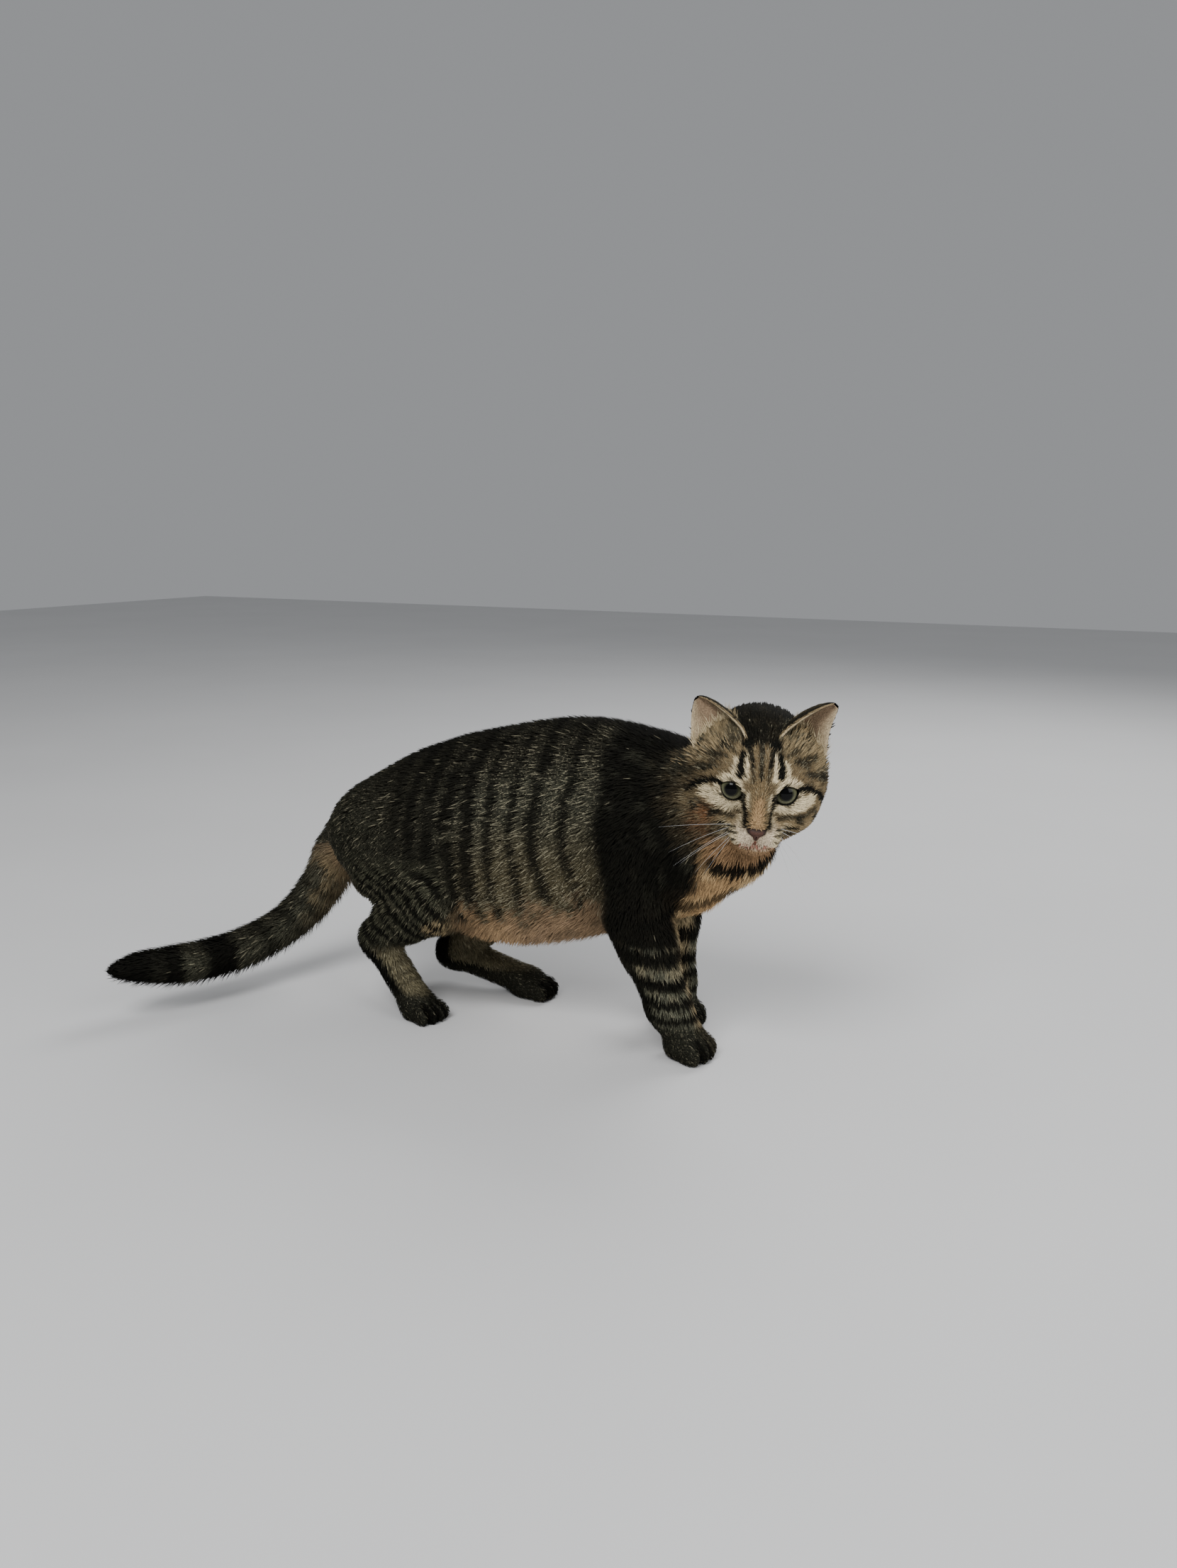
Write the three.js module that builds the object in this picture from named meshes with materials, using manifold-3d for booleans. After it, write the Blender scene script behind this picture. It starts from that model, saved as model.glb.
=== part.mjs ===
// A domestic shorthair tom, brown mackerel tabby, walking slowly with its head turned to its right.
// Millimetres, +X towards the shoulders, +Y to the cat's left, +Z up, the floor at Z = 0.
// The solids follow the tips of the coat. The whole body is one smooth distance function, which is
// turned into a mesh region by region, so that neighbouring pieces continue each other's surface.
import * as THREE from "three";
import { mergeVertices } from "three/addons/utils/BufferGeometryUtils.js";
import Module from "manifold-3d";

const wasm = await Module();
wasm.setup();

const vec = (x, y, z) => new THREE.Vector3(x, y, z);
const UP = vec(0, 0, 1);
const SIDES = { right: -1, left: 1 };

// ---------------------------------------------------------------- driving sizes
const GAP = 0.4; // clearance between neighbouring pieces
const SOLE_PRESS = 1.6; // how much of each paw's round underside is flattened by the floor

// The trunk, as stations along X: the middle's Y, the back's height, the belly's height, half the width.
const TRUNK = [
  { x: -214, y: 0, top: 150, bottom: 130, half: 15 },
  { x: -196, y: 0, top: 170, bottom: 124, half: 34 },
  { x: -165, y: 0, top: 197, bottom: 104, half: 50 },
  { x: -120, y: 0, top: 222, bottom: 80, half: 60 },
  { x: -70, y: 0, top: 240, bottom: 66, half: 65 },
  { x: -20, y: 0, top: 252, bottom: 65, half: 67 },
  { x: 30, y: 0, top: 261, bottom: 75, half: 64 },
  { x: 75, y: 0, top: 260, bottom: 90, half: 58 },
  { x: 115, y: -2, top: 251, bottom: 108, half: 51 },
  { x: 145, y: -6, top: 234, bottom: 124, half: 43 },
];
const TRUNK_BLEND = 24;

// The neck bends from the shoulders towards the head, with a softer throat below it.
const NECK = { from: [112, -4, 192], to: [168, -24, 214], thick: 50, thin: 43 };
const THROAT = { from: [130, -4, 156], to: [172, -30, 180], thick: 39, thin: 34 };

// The head's own frame: the point midway between the eyeballs' centres, and how it is turned.
const HEAD = { at: [202.5, -57, 229], yaw: -69.5, pitch: 17, roll: -4.5 };
const EYE = {
  radius: 10.5,
  apart: 35.6, // from one eyeball's middle to the other's
  socket: 0.4, // clearance round the eyeball
  lid: 1.2, // thickness of the lids
  wide: 17.5, // the opening between the lids
  high: 13,
  slant: 22,
  outward: 8,
  upward: 10,
};
// Ears, in the head's frame: where the two edges leave the head, the tip, the way the back bulges,
// and how far the outer edge curves in, as a share of the ear's width.
const EARS = {
  right: {
    medial: [-27, -16, 32],
    lateral: [-39, -49, 8],
    tip: [-57, -48, 38.5],
    bulge: [-13, 8, 7],
    hollow: 0,
  },
  left: {
    medial: [-27, 16, 32],
    lateral: [-39, 48, 10],
    tip: [-48, 50.5, 46.5],
    bulge: [-16, -8, 5],
    hollow: 0.12,
  },
};
const EAR = {
  thick: 3.2, // at its root
  thin: 2, // at its tip
  buried: 0.3, // how far it runs on into the head, as a share of its height
  top: 0.985, // where its tip is cut off, as a share of its height
  shoulders: 2.2, // the higher, the fuller its sides
  round: 0.45, // how much it narrows towards the tip
  rows: 9,
  columns: 8,
  step: 0.005, // the share over which its slope is taken
};
const NOSE = { at: [29, 0, -21], radii: [8, 6.8, 4.6] };

// The tail leaves the rump downwards, then swings out level to the cat's right.
const TAIL = {
  path: [
    [-188, 0, 138],
    [-211, 0, 120],
    [-223, -3, 98],
    [-236, -13, 74],
    [-250, -35, 54],
    [-269, -80, 41],
    [-287, -125, 41],
    [-302, -155, 45],
    [-310, -174, 47],
  ],
  radii: [27, 24, 21.5, 20.3, 18.8, 18.8, 18.2, 15, 8.5],
  steps: 40,
};

// Each leg from its top joint down: joints, and the coat's radius at each of them.
const FORELEG = {
  right: {
    shoulder: [98, -31, 166],
    elbow: [99, -34, 118],
    wrist: [124, -27, 42],
    paw: [138, -22],
    turn: -8,
  },
  left: {
    shoulder: [96, 31, 166],
    elbow: [98, 34, 124],
    wrist: [103, 36, 40],
    paw: [107, 38],
    turn: 4,
  },
};
const FORE_RADII = { shoulder: 34, elbow: 27, forearm: 23.5, wrist: 17.5 };
const HINDLEG = {
  right: {
    hip: [-146, -24, 150],
    ham: [-143, -32, 118],
    stifle: [-78, -42, 104],
    hock: [-141, -42, 62],
    paw: [-91, -50],
    turn: -14,
  },
  left: {
    hip: [-144, 24, 150],
    ham: [-140, 32, 118],
    stifle: [-50, 42, 98],
    hock: [-112, 34, 31],
    paw: [-32, 38],
    turn: 4,
  },
};
const HIND_RADII = { hip: 44, ham: 27, stifle: 28, tendon: 15, hock: 15, shank: 20, heel: 11, foot: 14.5 };
const TENDON_FROM = 0.3; // where the heel's tendon leaves the thigh, from ham to stifle
const FORE_PAW = { long: 42, wide: 36, high: 25 };
const HIND_PAW = { long: 40, wide: 32, high: 23 };
// Toes and the dome behind them, as shares of the paw's sizes. The toes fan out by `fan` degrees each.
const TOE = {
  ahead: 0.3,
  arch: 0.035,
  apart: 0.235,
  rise: 0.36,
  long: 0.26,
  wide: 0.155,
  high: 0.43,
  fan: 7,
};
const PAW_DOME = { ahead: -0.06, rise: 0.42, long: 0.4, wide: 0.44, high: 0.52 };

// Mesh cell for each region: fine where the form is small.
const CELL = { nose: 4, head: 7.8, paw: 7.6, limb: 12, thigh: 19, neck: 17, trunk: 24, tail: 12 };
const FLAT = 0.17; // a corner that lies this near its neighbours' faces is dropped from a mesh
const SLIVER = 0.02; // twice the area of the thinnest face that is kept

// ---------------------------------------------------------------- distance functions
// Smooth union: forms within `k` of each other flow together.
function blend(k, ...forms) {
  return (p) =>
    forms.reduce((near, form) => {
      const d = form(p);
      const h = Math.max(k - Math.abs(near - d), 0) / k;
      return Math.min(near, d) - (h * h * k) / 4;
    }, 1e6);
}

// An ellipsoid, upright or turned about Z by `turn` degrees.
function ball(at, radii, turn = 0) {
  const centre = vec(...at);
  const spin = THREE.MathUtils.degToRad(-turn);
  const q = new THREE.Vector3();
  return (p) => {
    q.copy(p).sub(centre);
    if (spin) q.applyAxisAngle(UP, spin);
    const k0 = Math.hypot(q.x / radii[0], q.y / radii[1], q.z / radii[2]);
    const k1 = Math.hypot(q.x / radii[0] ** 2, q.y / radii[1] ** 2, q.z / radii[2] ** 2);
    return k1 > 1e-9 ? (k0 * (k0 - 1)) / k1 : -Math.min(...radii);
  };
}

// A round bar that tapers from radius `r0` at `a` to `r1` at `b`.
function taper(a, b, r0, r1) {
  const start = vec(...a);
  const along = vec(...b).sub(start);
  const q = new THREE.Vector3();
  return (p) => {
    q.copy(p).sub(start);
    const t = THREE.MathUtils.clamp(q.dot(along) / along.lengthSq(), 0, 1);
    return q.addScaledVector(along, -t).length() - THREE.MathUtils.lerp(r0, r1, t);
  };
}

// A round bar along a smooth curve, with a radius at each of the curve's points.
function bar({ path, radii, steps }) {
  const curve = new THREE.CatmullRomCurve3(path.map((at) => vec(...at)));
  const places = curve.getPoints(steps);
  const radiusAt = (t) => {
    const i = Math.min(Math.floor(t * (radii.length - 1)), radii.length - 2);
    return THREE.MathUtils.lerp(radii[i], radii[i + 1], t * (radii.length - 1) - i);
  };
  const pieces = places.slice(1).map((end, i) => {
    const [r0, r1] = [radiusAt(i / steps), radiusAt((i + 1) / steps)];
    return taper(places[i].toArray(), end.toArray(), r0, r1);
  });
  return (p) => pieces.reduce((near, piece) => Math.min(near, piece(p)), 1e6);
}

// The trunk: an oval at each X, its four measures drawn smoothly through the stations.
function loft(stations) {
  const knots = stations.map((s) => vec(s.y, (s.top + s.bottom) / 2, (s.top - s.bottom) / 2));
  const halves = stations.map((s) => vec(s.half, 0, 0));
  const middles = new THREE.CatmullRomCurve3(knots);
  const widths = new THREE.CatmullRomCurve3(halves);
  const last = stations.length - 1;
  const found = new THREE.Vector3();
  const width = new THREE.Vector3();
  return (p) => {
    const x = THREE.MathUtils.clamp(p.x, stations[0].x, stations[last].x);
    let i = 0;
    while (i < last - 1 && stations[i + 1].x < x) i++;
    const share = (x - stations[i].x) / (stations[i + 1].x - stations[i].x);
    middles.getPoint((i + share) / last, found);
    widths.getPoint((i + share) / last, width);
    const dy = p.y - found.x;
    const dz = p.z - found.y;
    const reach = Math.hypot(dy, dz);
    const oval = Math.hypot(dy / width.x, dz / found.z);
    const side = oval > 1e-9 ? reach - reach / oval : -Math.min(width.x, found.z);
    return p.x === x ? side : Math.hypot(Math.max(side, 0), p.x - x);
  };
}

// ---------------------------------------------------------------- the head
const turned = new THREE.Euler(...[HEAD.roll, HEAD.pitch, HEAD.yaw].map(THREE.MathUtils.degToRad), "ZYX");
const headFrame = new THREE.Matrix4().compose(
  vec(...HEAD.at),
  new THREE.Quaternion().setFromEuler(turned),
  vec(1, 1, 1),
);
const intoHead = headFrame.clone().invert();
const fromHead = (at) => vec(...at).applyMatrix4(headFrame);

// The head's forms, in its own frame: +X out of the face, +Y to the cat's left, +Z to the crown.
function headForm() {
  const pair = (x, y, z, radii) => [ball([x, y, z], radii), ball([x, -y, z], radii)];
  const skull = blend(
    16,
    ball([-50, 0, 2], [42, 41, 38]),
    ball([-12, 0, 6], [22, 28, 19]),
    ...pair(-38, 27, -9, [28, 26, 30]),
    ...pair(-12, 25, -18, [22, 19, 19.5]),
    ...pair(-3, 18, 2, [12, 13.5, 12.5]),
  );
  const muzzle = blend(
    10,
    taper([0, 0, 6], [24, 0, -14], 12.5, 8.5),
    ...pair(17, 8, -26, [15, 11, 10.5]),
    ball([12, 0, -36], [15, 11, 8]),
    ball([-14, 0, -34], [30, 26, 15]),
  );
  const face = blend(14, skull, muzzle);
  const q = new THREE.Vector3();
  return (p) => face(q.copy(p).applyMatrix4(intoHead));
}

// An ear: a cupped leaf between its two edges, which meet in a round tip.
function earSolid({ medial, lateral, tip, bulge, hollow }) {
  const [inner, outer, top, back] = [medial, lateral, tip, bulge].map((at) => vec(...at));
  const across = outer.clone().sub(inner);
  const foot = inner.clone().lerp(outer, 0.5);
  const leafAt = (u, v) => {
    const rise = Math.max(v, 0);
    const spread = Math.sqrt(Math.max(1 - rise ** EAR.shoulders, 0)) * (1 - EAR.round * rise);
    return foot
      .clone()
      .lerp(top, v)
      .addScaledVector(across, (u - 0.5) * spread - hollow * u * Math.sin(Math.PI * rise))
      .addScaledVector(back, Math.sin(Math.PI * u) * spread);
  };
  const squareTo = (u, v) => {
    const overU = leafAt(u + EAR.step, v).sub(leafAt(u - EAR.step, v));
    const overV = leafAt(u, v + EAR.step).sub(leafAt(u, v - EAR.step));
    return overU.cross(overV).normalize();
  };
  // The inner face is the leaf itself, and the back lies behind it by the ear's thickness.
  const mirrored = squareTo(0.5, 0.3).dot(back) > 0;
  const behind = mirrored ? 1 : -1;
  const points = [];
  const faces = [];
  const columns = EAR.columns;
  for (const shell of [0, 1])
    for (let row = 0; row <= EAR.rows; row++) {
      const v = THREE.MathUtils.lerp(-EAR.buried, EAR.top, row / EAR.rows);
      const depth = shell * behind * THREE.MathUtils.lerp(EAR.thick, EAR.thin, Math.max(v, 0));
      for (let column = 0; column <= columns; column++) {
        const u = column / columns;
        points.push(leafAt(u, v).addScaledVector(squareTo(u, v), depth));
      }
    }
  const at = (shell, row, column) => (shell * (EAR.rows + 1) + row) * (columns + 1) + column;
  const quad = (a, b, c, d) => faces.push([a, b, c], [a, c, d]);
  for (let row = 0; row < EAR.rows; row++)
    for (let column = 0; column < columns; column++) {
      quad(at(0, row, column), at(0, row, column + 1), at(0, row + 1, column + 1), at(0, row + 1, column));
      quad(at(1, row, column), at(1, row + 1, column), at(1, row + 1, column + 1), at(1, row, column + 1));
    }
  for (let row = 0; row < EAR.rows; row++) {
    quad(at(0, row, 0), at(0, row + 1, 0), at(1, row + 1, 0), at(1, row, 0));
    quad(at(0, row + 1, columns), at(0, row, columns), at(1, row, columns), at(1, row + 1, columns));
  }
  const last = EAR.rows;
  for (let column = 0; column < columns; column++) {
    quad(at(0, 0, column + 1), at(0, 0, column), at(1, 0, column), at(1, 0, column + 1));
    quad(at(0, last, column), at(0, last, column + 1), at(1, last, column + 1), at(1, last, column));
  }
  if (mirrored) faces.forEach((face) => face.reverse());
  return solid(points.map((p) => p.applyMatrix4(headFrame)), faces);
}

// ---------------------------------------------------------------- legs and paws
// A paw: a low dome with four toes fanned out in front of it, pointing along `turn` degrees from +X.
function pawForm([x, y], turn, size) {
  const heading = THREE.MathUtils.degToRad(turn);
  const place = (forward, sideways, z) => [
    x + forward * Math.cos(heading) - sideways * Math.sin(heading),
    y + forward * Math.sin(heading) + sideways * Math.cos(heading),
    z,
  ];
  const toeSpread = [-1.5, -0.5, 0.5, 1.5];
  const toes = toeSpread.map((step) =>
    ball(
      place(
        size.long * (TOE.ahead - TOE.arch * step * step),
        step * size.wide * TOE.apart,
        size.high * TOE.rise - SOLE_PRESS,
      ),
      [size.long * TOE.long, size.wide * TOE.wide, size.high * TOE.high],
      turn + step * TOE.fan,
    ),
  );
  const dome = ball(
    place(size.long * PAW_DOME.ahead, 0, size.high * PAW_DOME.rise - SOLE_PRESS),
    [size.long * PAW_DOME.long, size.wide * PAW_DOME.wide, size.high * PAW_DOME.high],
    turn,
  );
  return blend(3, blend(1.5, ...toes), dome);
}

function forelegForm(side) {
  const leg = FORELEG[side];
  const middle = leg.elbow.map((v, i) => THREE.MathUtils.lerp(v, leg.wrist[i], 0.35));
  const pawTop = [leg.paw[0], leg.paw[1], FORE_PAW.high * 0.6];
  return blend(
    10,
    taper(leg.shoulder, leg.elbow, FORE_RADII.shoulder, FORE_RADII.elbow),
    taper(leg.elbow, middle, FORE_RADII.elbow, FORE_RADII.forearm),
    taper(middle, leg.wrist, FORE_RADII.forearm, FORE_RADII.wrist),
    taper(leg.wrist, pawTop, FORE_RADII.wrist, FORE_RADII.wrist * 0.9),
    pawForm(leg.paw, leg.turn, FORE_PAW),
  );
}

function hindlegForm(side) {
  const leg = HINDLEG[side];
  const calf = leg.stifle.map((v, i) => THREE.MathUtils.lerp(v, leg.hock[i], 0.5));
  const tendon = leg.ham.map((v, i) => THREE.MathUtils.lerp(v, leg.stifle[i], TENDON_FROM));
  const pawTop = [leg.paw[0] - 6, leg.paw[1], HIND_PAW.high * 0.55];
  return blend(
    12,
    taper(leg.hip, leg.stifle, HIND_RADII.hip, HIND_RADII.stifle),
    taper(leg.ham, leg.hip, HIND_RADII.ham, HIND_RADII.hip),
    taper(leg.stifle, calf, HIND_RADII.stifle, HIND_RADII.shank),
    taper(calf, leg.hock, HIND_RADII.shank, HIND_RADII.hock),
    taper(tendon, leg.hock, HIND_RADII.tendon, HIND_RADII.heel),
    taper(leg.hock, pawTop, HIND_RADII.hock, HIND_RADII.foot),
    pawForm(leg.paw, leg.turn, HIND_PAW),
  );
}

// ---------------------------------------------------------------- the whole body
const head = headForm();
const body = blend(
  8,
  blend(
    TRUNK_BLEND,
    loft(TRUNK),
    taper(NECK.from, NECK.to, NECK.thick, NECK.thin),
    taper(THROAT.from, THROAT.to, THROAT.thick, THROAT.thin),
  ),
  bar(TAIL),
  head,
  forelegForm("right"),
  forelegForm("left"),
  hindlegForm("right"),
  hindlegForm("left"),
);

// ---------------------------------------------------------------- from distance to mesh
// Moves a point onto the surface where `form` equals `level`.
const STEP = 0.2;
function settle(form, level, p) {
  const probe = new THREE.Vector3();
  const slope = new THREE.Vector3();
  for (let round = 0; round < 4; round++) {
    const d = form(p) - level;
    for (const axis of ["x", "y", "z"]) {
      probe.copy(p)[axis] += STEP;
      const ahead = form(probe);
      probe[axis] -= 2 * STEP;
      slope[axis] = (ahead - form(probe)) / (2 * STEP);
    }
    const steep = slope.lengthSq();
    if (steep < 1e-4) return p;
    p.addScaledVector(slope, -d / steep);
  }
  return p;
}

// The surface of `form` in a box, as a mesh with one point for each cell that the surface crosses.
function surface(form, box, cell, level = 0) {
  const size = box.getSize(new THREE.Vector3());
  const count = size.toArray().map((s) => Math.ceil(s / cell) + 1);
  const corner = (i, j, k) => vec(box.min.x + i * cell, box.min.y + j * cell, box.min.z + k * cell);
  const index = (i, j, k) => (k * count[1] + j) * count[0] + i;
  const values = new Float32Array(count[0] * count[1] * count[2]);
  const edge = (i, j, k) => [i, j, k].some((v, a) => v === 0 || v === count[a] - 1);
  forEachCell(count, (i, j, k) => {
    // The outermost layer counts as outside, which closes the mesh.
    values[index(i, j, k)] = edge(i, j, k) ? cell : form(corner(i, j, k)) - level;
  });
  const points = [];
  const pointOf = new Map();
  forEachCell(count.map((c) => c - 1), (i, j, k) => {
    const sum = vec(0, 0, 0);
    let crossings = 0;
    for (const [a, b] of CELL_EDGES) {
      const va = values[index(i + a[0], j + a[1], k + a[2])];
      const vb = values[index(i + b[0], j + b[1], k + b[2])];
      if (va < 0 === vb < 0) continue;
      const share = va / (va - vb);
      sum.add(corner(i + a[0], j + a[1], k + a[2]).lerp(corner(i + b[0], j + b[1], k + b[2]), share));
      crossings++;
    }
    if (!crossings) return;
    const place = sum.divideScalar(crossings);
    const inside = [i, j, k].every((v, a) => v > 0 && v < count[a] - 2);
    const settled = inside ? settle(form, level, place.clone()) : place;
    pointOf.set(index(i, j, k), points.length);
    points.push(settled.distanceTo(place) < cell ? settled : place);
  });
  const faces = [];
  forEachCell(count, (i, j, k) => {
    const here = values[index(i, j, k)] < 0;
    [0, 1, 2].forEach((axis) => {
      const next = [i, j, k];
      next[axis]++;
      if (next[axis] >= count[axis]) return;
      if (here === values[index(...next)] < 0) return;
      const [u, v] = [(axis + 1) % 3, (axis + 2) % 3];
      const ring = [[0, 0], [1, 0], [1, 1], [0, 1]].map(([du, dv]) => {
        const at = [i, j, k];
        at[u] -= du;
        at[v] -= dv;
        return pointOf.get(index(...at));
      });
      if (!here) ring.reverse();
      faces.push(...splitQuad(points, ring));
    });
  });
  return solid(points, faces);
}

const CELL_EDGES = [0, 1, 2].flatMap((axis) =>
  [[0, 0], [0, 1], [1, 0], [1, 1]].map(([u, v]) => {
    const a = [0, 0, 0];
    a[(axis + 1) % 3] = u;
    a[(axis + 2) % 3] = v;
    const b = [...a];
    b[axis] = 1;
    return [a, b];
  }),
);

function forEachCell(count, visit) {
  for (let k = 0; k < count[2]; k++)
    for (let j = 0; j < count[1]; j++) for (let i = 0; i < count[0]; i++) visit(i, j, k);
}

// Two triangles across the quad's shorter diagonal.
function splitQuad(points, [a, b, c, d]) {
  const short = points[a].distanceTo(points[c]) < points[b].distanceTo(points[d]);
  return short ? [[a, b, c], [a, c, d]] : [[a, b, d], [b, c, d]];
}

// Drops the corners that change a mesh's shape by less than `tolerance`: those of slivers and flat faces.
function thinned(points, faces, tolerance) {
  const around = points.map(() => new Set());
  faces.forEach((face, i) => face.forEach((v) => around[v].add(i)));
  const [ab, ac, old, fresh] = Array.from({ length: 4 }, () => new THREE.Vector3());
  const normalOf = ([a, b, c], out) =>
    out.crossVectors(ab.subVectors(points[b], points[a]), ac.subVectors(points[c], points[a]));
  const ringOf = (v) => new Set([...around[v]].flatMap((i) => faces[i]).filter((w) => w !== v));
  const fits = (drop, keep) => {
    const keepRing = ringOf(keep);
    if ([...ringOf(drop)].filter((v) => keepRing.has(v)).length !== 2) return false;
    for (const i of around[drop]) {
      if (faces[i].includes(keep)) continue;
      const before = normalOf(faces[i], old).length();
      const after = normalOf(faces[i].map((v) => (v === drop ? keep : v)), fresh).length();
      if (after < SLIVER) return false;
      if (before < SLIVER) continue;
      if (old.dot(fresh) < 0.6 * before * after) return false;
      const off = Math.abs(ab.subVectors(points[keep], points[drop]).dot(old)) / before;
      if (off > tolerance) return false;
    }
    return true;
  };
  for (let round = 0; round < 3; round++)
    points.forEach((_, drop) => {
      if (!around[drop].size) return;
      const near = [...ringOf(drop)].sort((a, b) => gapBetween(a, drop) - gapBetween(b, drop));
      const keep = near.find((v) => fits(drop, v));
      if (keep === undefined) return;
      for (const i of [...around[drop]]) {
        if (faces[i].includes(keep)) faces[i].forEach((v) => around[v].delete(i));
        else {
          around[drop].delete(i);
          faces[i] = faces[i].map((v) => (v === drop ? keep : v));
          around[keep].add(i);
        }
      }
    });
  function gapBetween(a, b) {
    return points[a].distanceToSquared(points[b]);
  }
  return faces.filter((face, i) => around[face[0]].has(i));
}

function solid(points, faces) {
  return new wasm.Manifold(
    new wasm.Mesh({
      numProp: 3,
      vertProperties: new Float32Array(points.flatMap((p) => p.toArray())),
      triVerts: new Uint32Array(faces.flat()),
    }),
  );
}

function solidOf(geometry) {
  const bare = geometry.clone();
  bare.deleteAttribute("normal");
  bare.deleteAttribute("uv");
  const merged = mergeVertices(bare, 1e-3);
  return new wasm.Manifold(
    new wasm.Mesh({
      numProp: 3,
      vertProperties: merged.attributes.position.array,
      triVerts: new Uint32Array(merged.index.array),
    }),
  );
}

// ---------------------------------------------------------------- regions that part the body
const FAR = 900; // larger than the cat
const REACH = new THREE.Box3(vec(-345, -210, -8), vec(275, 95, 300)); // holds the whole body

// Everything on the side of a plane that its normal points to, moved out by `grow`.
function beyond(at, normal, grow) {
  const slab = new THREE.BoxGeometry(FAR, FAR, FAR).translate(0, 0, FAR / 2 - grow);
  const turn = new THREE.Quaternion().setFromUnitVectors(UP, vec(...normal).normalize());
  return solidOf(slab.applyQuaternion(turn).translate(...at));
}

// The inside of an ellipsoid, placed by a matrix.
function within(radii, matrix, grow) {
  const shape = new THREE.SphereGeometry(1, 14, 9).scale(...radii.map((r) => r + grow));
  return solidOf(shape.applyMatrix4(matrix));
}
const leaning = (at, lean) =>
  new THREE.Matrix4().makeRotationY(THREE.MathUtils.degToRad(lean)).setPosition(...at);
const inHead = (at) => headFrame.clone().multiply(new THREE.Matrix4().makeTranslation(...at));

// An upright round column over a place on the floor.
function column([x, y], radius, grow) {
  const shape = new THREE.CylinderGeometry(radius + grow, radius + grow, FAR, 24);
  return solidOf(shape.rotateX(Math.PI / 2).translate(x, y, 0));
}

const every = (...solids) => solids.reduce((a, b) => a.intersect(b));
const partWay = (a, b, t) => vec(...a).lerp(vec(...b), t).toArray();
const direction = (a, b) => vec(...b).sub(vec(...a)).normalize().toArray();
const below = (z, grow) => beyond([0, 0, z], [0, 0, -1], grow);
const outside = (side, y, grow) => beyond([0, SIDES[side] * y, 0], [0, SIDES[side], 0], grow);

// Where the limbs are parted. `inner` is how near the body's middle plane a piece may come.
const WRIST_CUT = { height: 26, lean: 0.2, reach: 33 };
const ELBOW_CUT = { height: 104, lean: 0.15, inner: 4, ahead: 16, reach: 47 };
const UPPER_ARM = { at: [97, 44, 148], radii: [40, 36, 66], lean: -10, inner: 12 };
const HINDPAW_CUT = { behind: 13, height: 14, lean: 0.5, ahead: 4, reach: 36, top: 44 };
const METATARSUS = { along: 0.4, reach: 62, inner: 8 };
const SHANK = { radii: [58, 34, 33], inner: 14 };
const THIGH = { radii: [64, 48, 84], sideways: 46, stifle: 92, along: 0.42, lean: -44, inner: 16 };

// The pieces in the order in which they are taken from the body: each gives way to those before it.
// A region is a function of how far it is grown, so that the next piece can keep clear of it.
function forelegPieces(side) {
  const { elbow, paw } = FORELEG[side];
  const [x, y, z] = UPPER_ARM.at;
  const upperArm = leaning([x, SIDES[side] * y, z], UPPER_ARM.lean);
  return [
    {
      name: `forepaw_${side}`,
      region: (g) =>
        every(
          beyond([...paw, WRIST_CUT.height], [WRIST_CUT.lean, 0, -1], g),
          column(paw, WRIST_CUT.reach, g),
        ),
      cell: CELL.paw,
    },
    {
      name: `forearm_${side}`,
      region: (g) =>
        every(
          beyond([elbow[0], 0, ELBOW_CUT.height], [ELBOW_CUT.lean, 0, -1], g),
          outside(side, ELBOW_CUT.inner, g),
          column([elbow[0] + ELBOW_CUT.ahead, elbow[1]], ELBOW_CUT.reach, g),
        ),
      cell: CELL.limb,
    },
    {
      name: `upper_arm_${side}`,
      region: (g) => every(within(UPPER_ARM.radii, upperArm, g), outside(side, UPPER_ARM.inner, g)),
      cell: CELL.thigh,
    },
  ];
}

// A plane through a joint that halves the angle between the bones that meet there.
function mitre(above, joint, under, g) {
  const normal = vec(...direction(joint, under)).sub(vec(...direction(joint, above)));
  return beyond(joint, normal.toArray(), g);
}

function hindlegPieces(side) {
  const { hip, stifle, hock, paw } = HINDLEG[side];
  const y = SIDES[side] * THIGH.sideways;
  const [dx, , dz] = direction(stifle, hock);
  const shinLean = THREE.MathUtils.radToDeg(Math.atan2(dz, -dx));
  const shank = leaning(partWay(stifle, hock, 0.5), shinLean);
  const thighAt = partWay([hip[0], y, hip[2]], [stifle[0], y, THIGH.stifle], THIGH.along);
  const thigh = leaning(thighAt, THIGH.lean);
  return [
    {
      name: `hindpaw_${side}`,
      region: (g) =>
        every(
          beyond([paw[0] - HINDPAW_CUT.behind, paw[1], HINDPAW_CUT.height], [1, 0, -HINDPAW_CUT.lean], g),
          column([paw[0] + HINDPAW_CUT.ahead, paw[1]], HINDPAW_CUT.reach, g),
          below(HINDPAW_CUT.top, g),
        ),
      cell: CELL.paw,
    },
    {
      name: `metatarsus_${side}`,
      region: (g) =>
        every(
          mitre(stifle, hock, [...paw, 0], g),
          column(partWay(hock, [...paw, 0], METATARSUS.along), METATARSUS.reach, g),
          outside(side, METATARSUS.inner, g),
        ),
      cell: CELL.limb,
    },
    {
      name: `shank_${side}`,
      region: (g) => every(within(SHANK.radii, shank, g), outside(side, SHANK.inner, g)),
      cell: CELL.limb,
    },
    {
      name: `thigh_${side}`,
      region: (g) => every(within(THIGH.radii, thigh, g), outside(side, THIGH.inner, g)),
      cell: CELL.thigh,
    },
  ];
}

const tailCurve = new THREE.CatmullRomCurve3(TAIL.path.map((at) => vec(...at)));
const tailCut = (share, g) =>
  beyond(tailCurve.getPoint(share).toArray(), tailCurve.getTangent(share).toArray(), g);
const behindRump = (g) => beyond([RUMP_END, 0, 0], [-1, 0, 0], g);

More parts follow.
